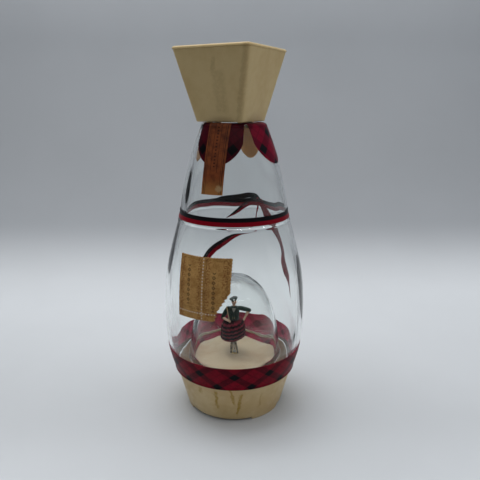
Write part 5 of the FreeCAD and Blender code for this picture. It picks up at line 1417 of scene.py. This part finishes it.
kilt_grid[..., 2] += hem_slope * swing * kilt_grid[..., 0]
kilt_grid[..., 0] -= hem_shift * swing
kilt_grid = faced(kilt_grid)
print("kilt", kilt_grid.shape)

# %% Kilt cloth
print_columns, row_pitch, row_slope, row_wave = 10, 3.4, 0.2, 0.35
kilt_cloth, graph = finish("kilt_cloth", Roughness=0.85, Specular_IOR_Level=0.1, Sheen_Weight=0.05)
where = graph.millimetres()
x, y, z = graph.parts(where)
turn = graph.times(graph.calc("ARCTAN2", y, x), print_columns / (2 * math.pi))
wave = graph.times(graph.calc("SINE", graph.times(turn, 4 * math.pi)), row_wave)
level = graph.times(graph.minus(graph.plus(z, wave), graph.along(where, row_slope * aside)), 1 / row_pitch)
plaid = graph.use(tartan, {"First": turn, "Second": level, "Ground": (0.18, 0.015, 0.030), "Stripe": 0.24,
                           "Crossed": (0.10, 0.010, 0.016), "Black": (0.012, 0.006, 0.008)})
dark_row = graph.ramp(stripe(graph, level, 0.26), 0.0, 1.0, 1.0, 0.12)
woven = graph.use(weave, {"Where": where, "Threads": 16.0})
shade = graph.times(woven[0], dark_row)
graph.feed(Base_Color=graph.scaled(plaid[0], shade), Normal=graph.bump(woven[1], 0.04))
make("dancer_kilt", [skin(kilt_grid, loop=True)], kilt_cloth, "dancer", ["dancer_kilt"],
     crease_deg=60)

# %% [markdown]
# The jacket is an ellipse that changes with height: narrow waist, full chest, sloped shoulders. It is worn
# open at the neck over a white shirt, with lapels, a belt and two pairs of small buttons. Lapels and shirt
# are thin sheets laid on the same ellipse, a little further out, so they follow the chest.

# %% Jacket
chest_depth, jacket_height, jacket_columns = 0.72, 12.6, 96
jacket_line = smooth_line([(4.4, 0.0), (4.5, 2.0), (4.8, 5.7), (4.95, 9.0), (4.5, 11.0), (3.1, 12.15),
                           (1.6, jacket_height)], 44)


def chest(turn, height, out):
    """A spot on the jacket: its ellipse at that height, moved out. Turn 0 is the front."""
    radius = np.interp(height, jacket_line[:, 1], jacket_line[:, 0]) + out
    y = -chest_depth * radius * np.cos(turn) - 0.2 * out
    return np.stack([radius * np.sin(turn), y, kilt_top_z + height], axis=-1)


jacket_turn = round_turns(jacket_columns)
jacket_radius, jacket_up = jacket_line[:, :1], jacket_line[:, 1:]
wrinkle = 0.12 * np.sin(5 * jacket_turn + jacket_up * 1.7) * np.clip(4 - jacket_up, 0, 4) / 4
jacket_grid = ring_points(jacket_radius + wrinkle, jacket_turn, kilt_top_z + jacket_up, chest_depth)
socket_line = np.array([(spindle_hole, jacket_height), (spindle_hole, 0.0)]) + (0, kilt_top_z)
jacket_skin = skin(faced(np.vstack([jacket_grid, lathe(socket_line, jacket_columns)])), loop=True)
make("dancer_jacket", [jacket_skin], green_cloth, "dancer", ["dancer_jacket"])

# %% Shirt, lapels, belt and buttons
sheet_rows = np.linspace(0, 1, 18)[:, None]
sheet_columns = np.linspace(-1, 1, 15)[None, :]


def on_chest(inner, outer, low, high, out):
    """A sheet on the jacket between two turns, each given at its low and its high end."""
    height = low + (high - low) * sheet_rows + 0 * sheet_columns
    near = inner[0] + (inner[1] - inner[0]) * sheet_rows
    far = outer[0] + (outer[1] - outer[0]) * sheet_rows
    turn = near + (far - near) * (sheet_columns + 1) / 2
    return slab(faced(chest(turn, height, out + 0.14)), faced(chest(turn, height, out - 0.2)))


shirt = [on_chest((-0.04, -0.36), (0.04, 0.36), 8.2, 11.7, 0.0)]
lapels = [on_chest((side * 0.03, side * 0.34), (side * 0.16, side * 0.9), 6.4, 11.8, 0.16)
          for side in (-1, 1)]
belt_rows = np.array([(4.3, 0.15), (4.75, 0.15), (4.75, 1.35), (4.3, 1.35)])
belt_grid = ring_points(belt_rows[:, :1], jacket_turn, kilt_top_z + belt_rows[:, 1:], chest_depth)
buttons = [ball(chest(np.array(0.16 * side), np.array(height), 0.05), (0.3, 0.22, 0.3), 9, 12)
           for height in (2.2, 3.5) for side in (-1, 1)]
button_metal = painted("button_metal", (0.45, 0.33, 0.15), (0.3, 0.2, 0.09), 0.3)
make("dancer_shirt", shirt, white_linen, "dancer")
make("dancer_lapels", lapels, green_cloth, "dancer")
make("dancer_belt", [skin(faced(belt_grid), loop=True)], black_paint, "dancer")
make("dancer_buttons", buttons, button_metal, "dancer")

# %% [markdown]
# The head is an egg with a calm doll's face: the eyes are half way up, the tip of the nose a quarter of the
# way from there to the chin, and the mouth a little over half way. Each feature is a soft bump, a bell curve
# in the turn and the height that moves the skin along its own direction. Brows, lips and cheeks are paint,
# so the face has flat coordinates of its own: the turn from the front, and the height over the eye line.

# %% Head
chin_z, crown_z = kilt_top_z + 13.5, kilt_top_z + 19.6
head_middle = (chin_z + crown_z) / 2
head_half = np.array([2.15, 2.5, (crown_z - chin_z) / 2])
face_half, face_radius = 3.6, 3.0
face_scale = head_half[2] / face_half
head_rows, head_columns = 72, 96
head_grid = ball_grid(head_rows, head_columns)
face_turn = np.arctan2(head_grid[..., 0], -head_grid[..., 1])
face_up = head_grid[..., 2] * face_half


def bell(turn, up, wide, tall):
    """A bell curve on the face round a turn and a height over the eye line, on a head 7.2 units tall."""
    return np.exp(-((face_turn - turn) / wide) ** 2 - ((face_up - up) / tall) ** 2)


# Nose tip and bridge, brow, upper and lower lip, chin, then eye sockets and cheeks
bumps = [(0.42, 0, -0.95, 0.16, 0.42), (0.22, 0, -0.35, 0.12, 0.55), (0.14, 0, 0.75, 0.7, 0.35),
         (0.12, 0, -1.85, 0.28, 0.16), (0.10, 0, -2.2, 0.24, 0.16), (0.18, 0, -3.0, 0.4, 0.35)]
for side in (-1, 1):
    bumps += [(-0.2, side * 0.42, 0.05, 0.22, 0.42), (0.12, side * 0.62, -1.0, 0.3, 0.6)]
relief = sum(rise * bell(*place) for rise, *place in bumps)
jaw = 1 - 0.16 * np.clip(-head_grid[..., 2], 0, 1) ** 2
egg = head_grid * head_half * (1 + relief / face_radius)[..., None]
egg[..., 0] *= jaw
head_skin = egg_skin(egg + (0, 0, head_middle))
neck = tube([(0, 0.3, kilt_top_z + 12.4), (0, 0.2, head_middle - 1.2)], [1.3, 1.2], 22)
ears = [ball((side * 2.14, 0.3, head_middle - 0.3), (0.32, 0.52, 0.7)) for side in (-1, 1)]
flat_face = np.stack([face_turn, face_up], axis=-1)
top_point = (head_rows - 1) * head_columns
keep = np.concatenate([[0], np.arange(head_columns, top_point), [top_point]])
plain = np.tile([0.0, -20.0], (len(neck[0]) + sum(len(part[0]) for part in ears), 1))
face_sheet = np.vstack([flat_face.reshape(-1, 2)[keep], plain])
print("head", egg.shape)

# %% Face paint
face_paint, graph = finish("face_paint", Roughness=0.42, Specular_IOR_Level=0.4)
where = graph.sheet()
turn, up, _ = graph.parts(where)
side = graph.calc("ABSOLUTE", turn)


def dab(graph, across, along, at, size):
    """A soft painted spot: 1 in the middle of an ellipse, 0 outside it."""
    x = graph.calc("DIVIDE", graph.minus(across, at[0]), size[0])
    y = graph.calc("DIVIDE", graph.minus(along, at[1]), size[1])
    return graph.ramp(graph.squares(x, y), 0.45, 1.1, 1.0, 0.0)


patches = graph.ramp(graph.noise(graph.millimetres(), 0.5, 3.0), 0.35, 0.7)
cheek = dab(graph, side, up, (0.62, -1.0), (0.34, 0.7))
lips = dab(graph, side, up, (0.0, -2.02), (0.27, 0.3))
tone = graph.mix(patches, (0.52, 0.31, 0.21), (0.47, 0.25, 0.165))
tone = graph.paint(tone, cheek, 0.4, (0.45, 0.14, 0.09))
tone = graph.paint(tone, lips, 0.75, (0.34, 0.075, 0.06))
arch = graph.minus(up, graph.times(graph.minus(side, 0.42), -0.25))
brow = dab(graph, side, arch, (0.43, 0.72), (0.24, 0.13))
lid = dab(graph, side, up, (0.42, 0.32), (0.22, 0.09))
hair = graph.times(graph.ramp(side, 1.25, 1.4), graph.ramp(up, -1.9, -1.5))
tone = graph.paint(tone, graph.strongest(brow, lid, hair), 0.9, (0.035, 0.02, 0.012))
strand = graph.noise(graph.stretch(where, 26.0, 1.5, 1.0), 1.0, 3.0)
graph.feed(Base_Color=tone, Normal=graph.bump(graph.times(strand, hair), 0.12))
make("dancer_head", [head_skin, neck] + ears, face_paint, "dancer", ["dancer_head"],
     sheet=face_sheet)

# %% Eyes
eye_size, pupil_size = np.array([0.36, 0.2, 0.24]) * face_scale, np.array([0.17, 0.12, 0.19]) * face_scale
eye_white = painted("eye_white", (0.7, 0.66, 0.6), (0.6, 0.55, 0.5), 0.25)
pupil_paint = painted("pupil", (0.02, 0.014, 0.01), (0.04, 0.028, 0.02), 0.2)
places = [np.array([side * 0.98, -2.62, 0.05]) * face_scale + (0, 0, head_middle) for side in (-1, 1)]
eyes = [ball(place, eye_size, 11, 16) for place in places]
pupils = [ball(place + (0, -0.11, 0), pupil_size, 9, 14) for place in places]
make("dancer_eyes", eyes, eye_white, "dancer")
make("dancer_pupils", pupils, pupil_paint, "dancer")

# %% [markdown]
# A flat bonnet: a snug band, then a wide soft crown that droops to one side, with a gathered seam and a
# small tuft on top. The line is turned about the head's axis, given slow waves, and tilted as it is worn.

# %% Bonnet
brow_z = kilt_top_z + 17.64
hat_tilt = math.radians(-12.0)
hat_columns, hat_band, hat_swell = 96, 2.6, 0.95
hat_line = smooth_line([(2.3, 0.2), (2.5, 0.0), (2.55, 0.75), (2.8, 1.15), (3.5, 1.5), (3.65, 1.95),
                        (3.3, 2.55), (1.9, 3.05), (0.0, 3.2)], 60)
hat_turn = round_turns(hat_columns)
hat_share = np.clip((hat_line[:, :1] - hat_band) / hat_swell, 0, 1)
seam = 0.012 * np.sin(22 * hat_turn) * (hat_share > 0) * (1 - hat_share)
gather = 1 + seam + 0.03 * hat_share * np.sin(3 * hat_turn + 1)
droop = -0.25 * hat_share * (1 - np.cos(hat_turn + 2.6)) / 2
hat_grid = ring_points(hat_line[:, :1] * gather, hat_turn, hat_line[:, 1:] + droop)
hat_under = np.zeros((1, hat_columns, 3)) + (0, 0, 0.4)


def tilted(grid):
    """Turn about the y axis by the hat's tilt, then set down on the brow."""
    x, y, z = np.moveaxis(np.asarray(grid, float), -1, 0)
    c, s = math.cos(hat_tilt), math.sin(hat_tilt)
    return np.stack([x * c + z * s, y, z * c - x * s + brow_z], axis=-1)


tuft = ball_grid(25, 40)
strands = np.sin(9 * np.arctan2(tuft[..., 1], tuft[..., 0])) * np.sin(7 * tuft[..., 2])
tuft = tuft * (0.95 + 0.09 * strands)[..., None] * 0.68 + (0, 0, 3.4)
tuft_wool = cloth("tuft_wool", (0.10, 0.012, 0.016), (0.16, 0.03, 0.03), 9.0)
hat_skin = egg_skin(tilted(np.vstack([hat_under, hat_grid])))
make("dancer_hat", [hat_skin], hat_felt, "dancer", ["dancer_hat"])
make("dancer_tuft", [egg_skin(tilted(tuft))], tuft_wool, "dancer")

# %% [markdown]
# Arms. Each sleeve ends in a rolled cuff, then a bare forearm and a hand. One hand rests on the hip, the
# other holds a thin stick. A hand is a flat egg for the palm, a thumb, and four finger ridges.

# %% Arms
waist = (0, 0, kilt_top_z)
arms = {
    "akimbo": np.array([(4.4, 0.1, 10.6), (14.0, 0.0, 8.6), (9.6, -2.4, 1.6)]) + waist,
    "raised": np.array([(-4.4, 0.1, 10.6), (-9.4, 0.0, 1.9), (-3.6, -7.2, 1.8)]) + waist,
}


def arm_pieces(shoulder, elbow, hand):
    """Sleeve, cuff, forearm and hand along the two bones of an arm."""
    sleeve_path = smooth_line([shoulder, (shoulder + elbow) / 2 + (0, 0, 0.3), elbow], 24)
    fore_path = smooth_line([elbow, (elbow + hand) / 2 + (0, 0, -0.1), hand], 24)
    way = unit(hand - elbow)
    sleeve = tube(sleeve_path, [1.9, 2.05, 1.95, 1.75], 24)
    turn = np.linspace(0, 2 * math.pi, 40)
    side = unit(np.cross(way, (0.2, 0.3, 0.93)))
    other = np.cross(way, side)
    cuff_path = elbow + way * 1.0 + 1.35 * (np.cos(turn)[:, None] * side + np.sin(turn)[:, None] * other)
    forearm = tube(fore_path, [1.3, 1.2, 1.0, 0.85], 20)
    palm = tube(np.array([hand - way * 0.2, hand + way * 0.6]), [0.9, 1.0], 18, flat=0.62)
    thumb = tube(np.array([hand + side * 0.55, hand + side * 0.8 + way * 0.7]), [0.29, 0.24], 10)
    finger = np.array([hand + way * 0.6, hand + way * 1.3])
    fingers = [tube(finger + side * (k - 1.5) * 0.36, [0.24, 0.2], 10) for k in range(4)]
    return sleeve, tube(cuff_path, [0.3], 12), [forearm, palm, thumb] + fingers


for name, joints in arms.items():
    sleeve, cuff, bare = arm_pieces(*joints)
    make("dancer_sleeve_" + name, [sleeve, cuff], green_cloth, "dancer",
         ["dancer_arm_" + name])
    make("dancer_hand_" + name, bare, doll_skin, "dancer")

# %% Stick
stick_lean = math.radians(-9.0)
stick_way = np.array([math.sin(stick_lean), 0, math.cos(stick_lean)])
stick_path = arms["raised"][2] + np.linspace(-1.4, 13.3, 16)[:, None] * stick_way
stick_wood, graph = finish("stick_wood", Roughness=0.5)
where = graph.millimetres()
grain = graph.noise(graph.stretch(where, 3.0, 3.0, 0.3), 1.2, 4.0)
tone = graph.mix(grain, (0.50, 0.36, 0.20), (0.34, 0.21, 0.10))
graph.feed(Base_Color=tone, Normal=graph.bump(grain, 0.03))
stick = tube(stick_path, [0.42, 0.36], 14)
make("dancer_stick", [stick], stick_wood, "dancer", ["dancer_stick"])

# %% [markdown]
# The movement keeps its CAD shapes: gears, comb, cylinder, plates and screws are already exact there. They
# need metal that has been worked: brushed one way, stained a little where oil sat, brighter where it was
# polished. Brass, steel, spring steel and zinc plate differ only in their tones, so one group serves all.

# %% Worked metal, rubber and cork
worked_metal, graph, given = group_of(
    "worked_metal", {"Where": "Vector", "Bright": "Color", "Stained": "Color"},
    {"Color": "Color", "Roughness": "Float", "Height": "Float"})
brushed = graph.noise(graph.stretch(given["Where"], 0.4, 6.0, 6.0), 1.3, 4.0)
stain = graph.noise(given["Where"], 0.22, 5.0, 0.6)
tone = graph.mix(graph.ramp(stain, 0.45, 0.75), given["Bright"], given["Stained"])
rough = graph.plus(graph.ramp(brushed, 0.3, 0.7, 0.18, 0.34), graph.ramp(stain, 0.45, 0.75, 0.0, 0.2))
graph.feed(Color=tone, Roughness=rough, Height=brushed)


def metal(name, bright, stained):
    """A worked metal in its bright and its stained tone."""
    material, graph = finish(name, Metallic=1.0)
    work = graph.use(worked_metal, {"Where": graph.millimetres(), "Bright": bright, "Stained": stained})
    graph.feed(Base_Color=work[0], Roughness=work[1], Normal=graph.bump(work[2], 0.02))
    return material


def grained(name, colour, dark, scale, depth, rough):
    """A dull material with pits: dark where a fine noise is low, and sunk there."""
    material, graph = finish(name, Roughness=rough, Specular_IOR_Level=0.3)
    where = graph.millimetres()
    pits = graph.ramp(graph.noise(where, scale, 5.0, 0.65), 0.38, 0.55)
    graph.feed(Base_Color=graph.mix(pits, dark, colour), Normal=graph.bump(pits, depth))
    return material


finishes = {
    "brass": metal("brass", (0.72, 0.50, 0.20), (0.42, 0.26, 0.10)),
    "steel": metal("steel", (0.56, 0.56, 0.55), (0.30, 0.28, 0.26)),
    "spring_steel": metal("spring_steel", (0.30, 0.32, 0.37), (0.16, 0.16, 0.19)),
    "zinc_plate": metal("zinc_plate", (0.60, 0.61, 0.62), (0.40, 0.40, 0.40)),
    "cork": grained("cork", (0.42, 0.26, 0.13), (0.14, 0.07, 0.03), 0.9, 0.25, 0.9),
    "seal_rubber": grained("seal_rubber", (0.42, 0.28, 0.15), (0.26, 0.16, 0.08), 2.2, 0.05, 0.7),
}

# %% Finishes onto the CAD nodes
dressed = 0
for part in frame["record"]["subparts"]:
    if part["material_slot"] in finishes:
        shape = frame["nodes"][part["node"]].data
        shape.materials.clear()
        shape.materials.append(finishes[part["material_slot"]])
        dressed += 1
print("CAD nodes dressed:", dressed)
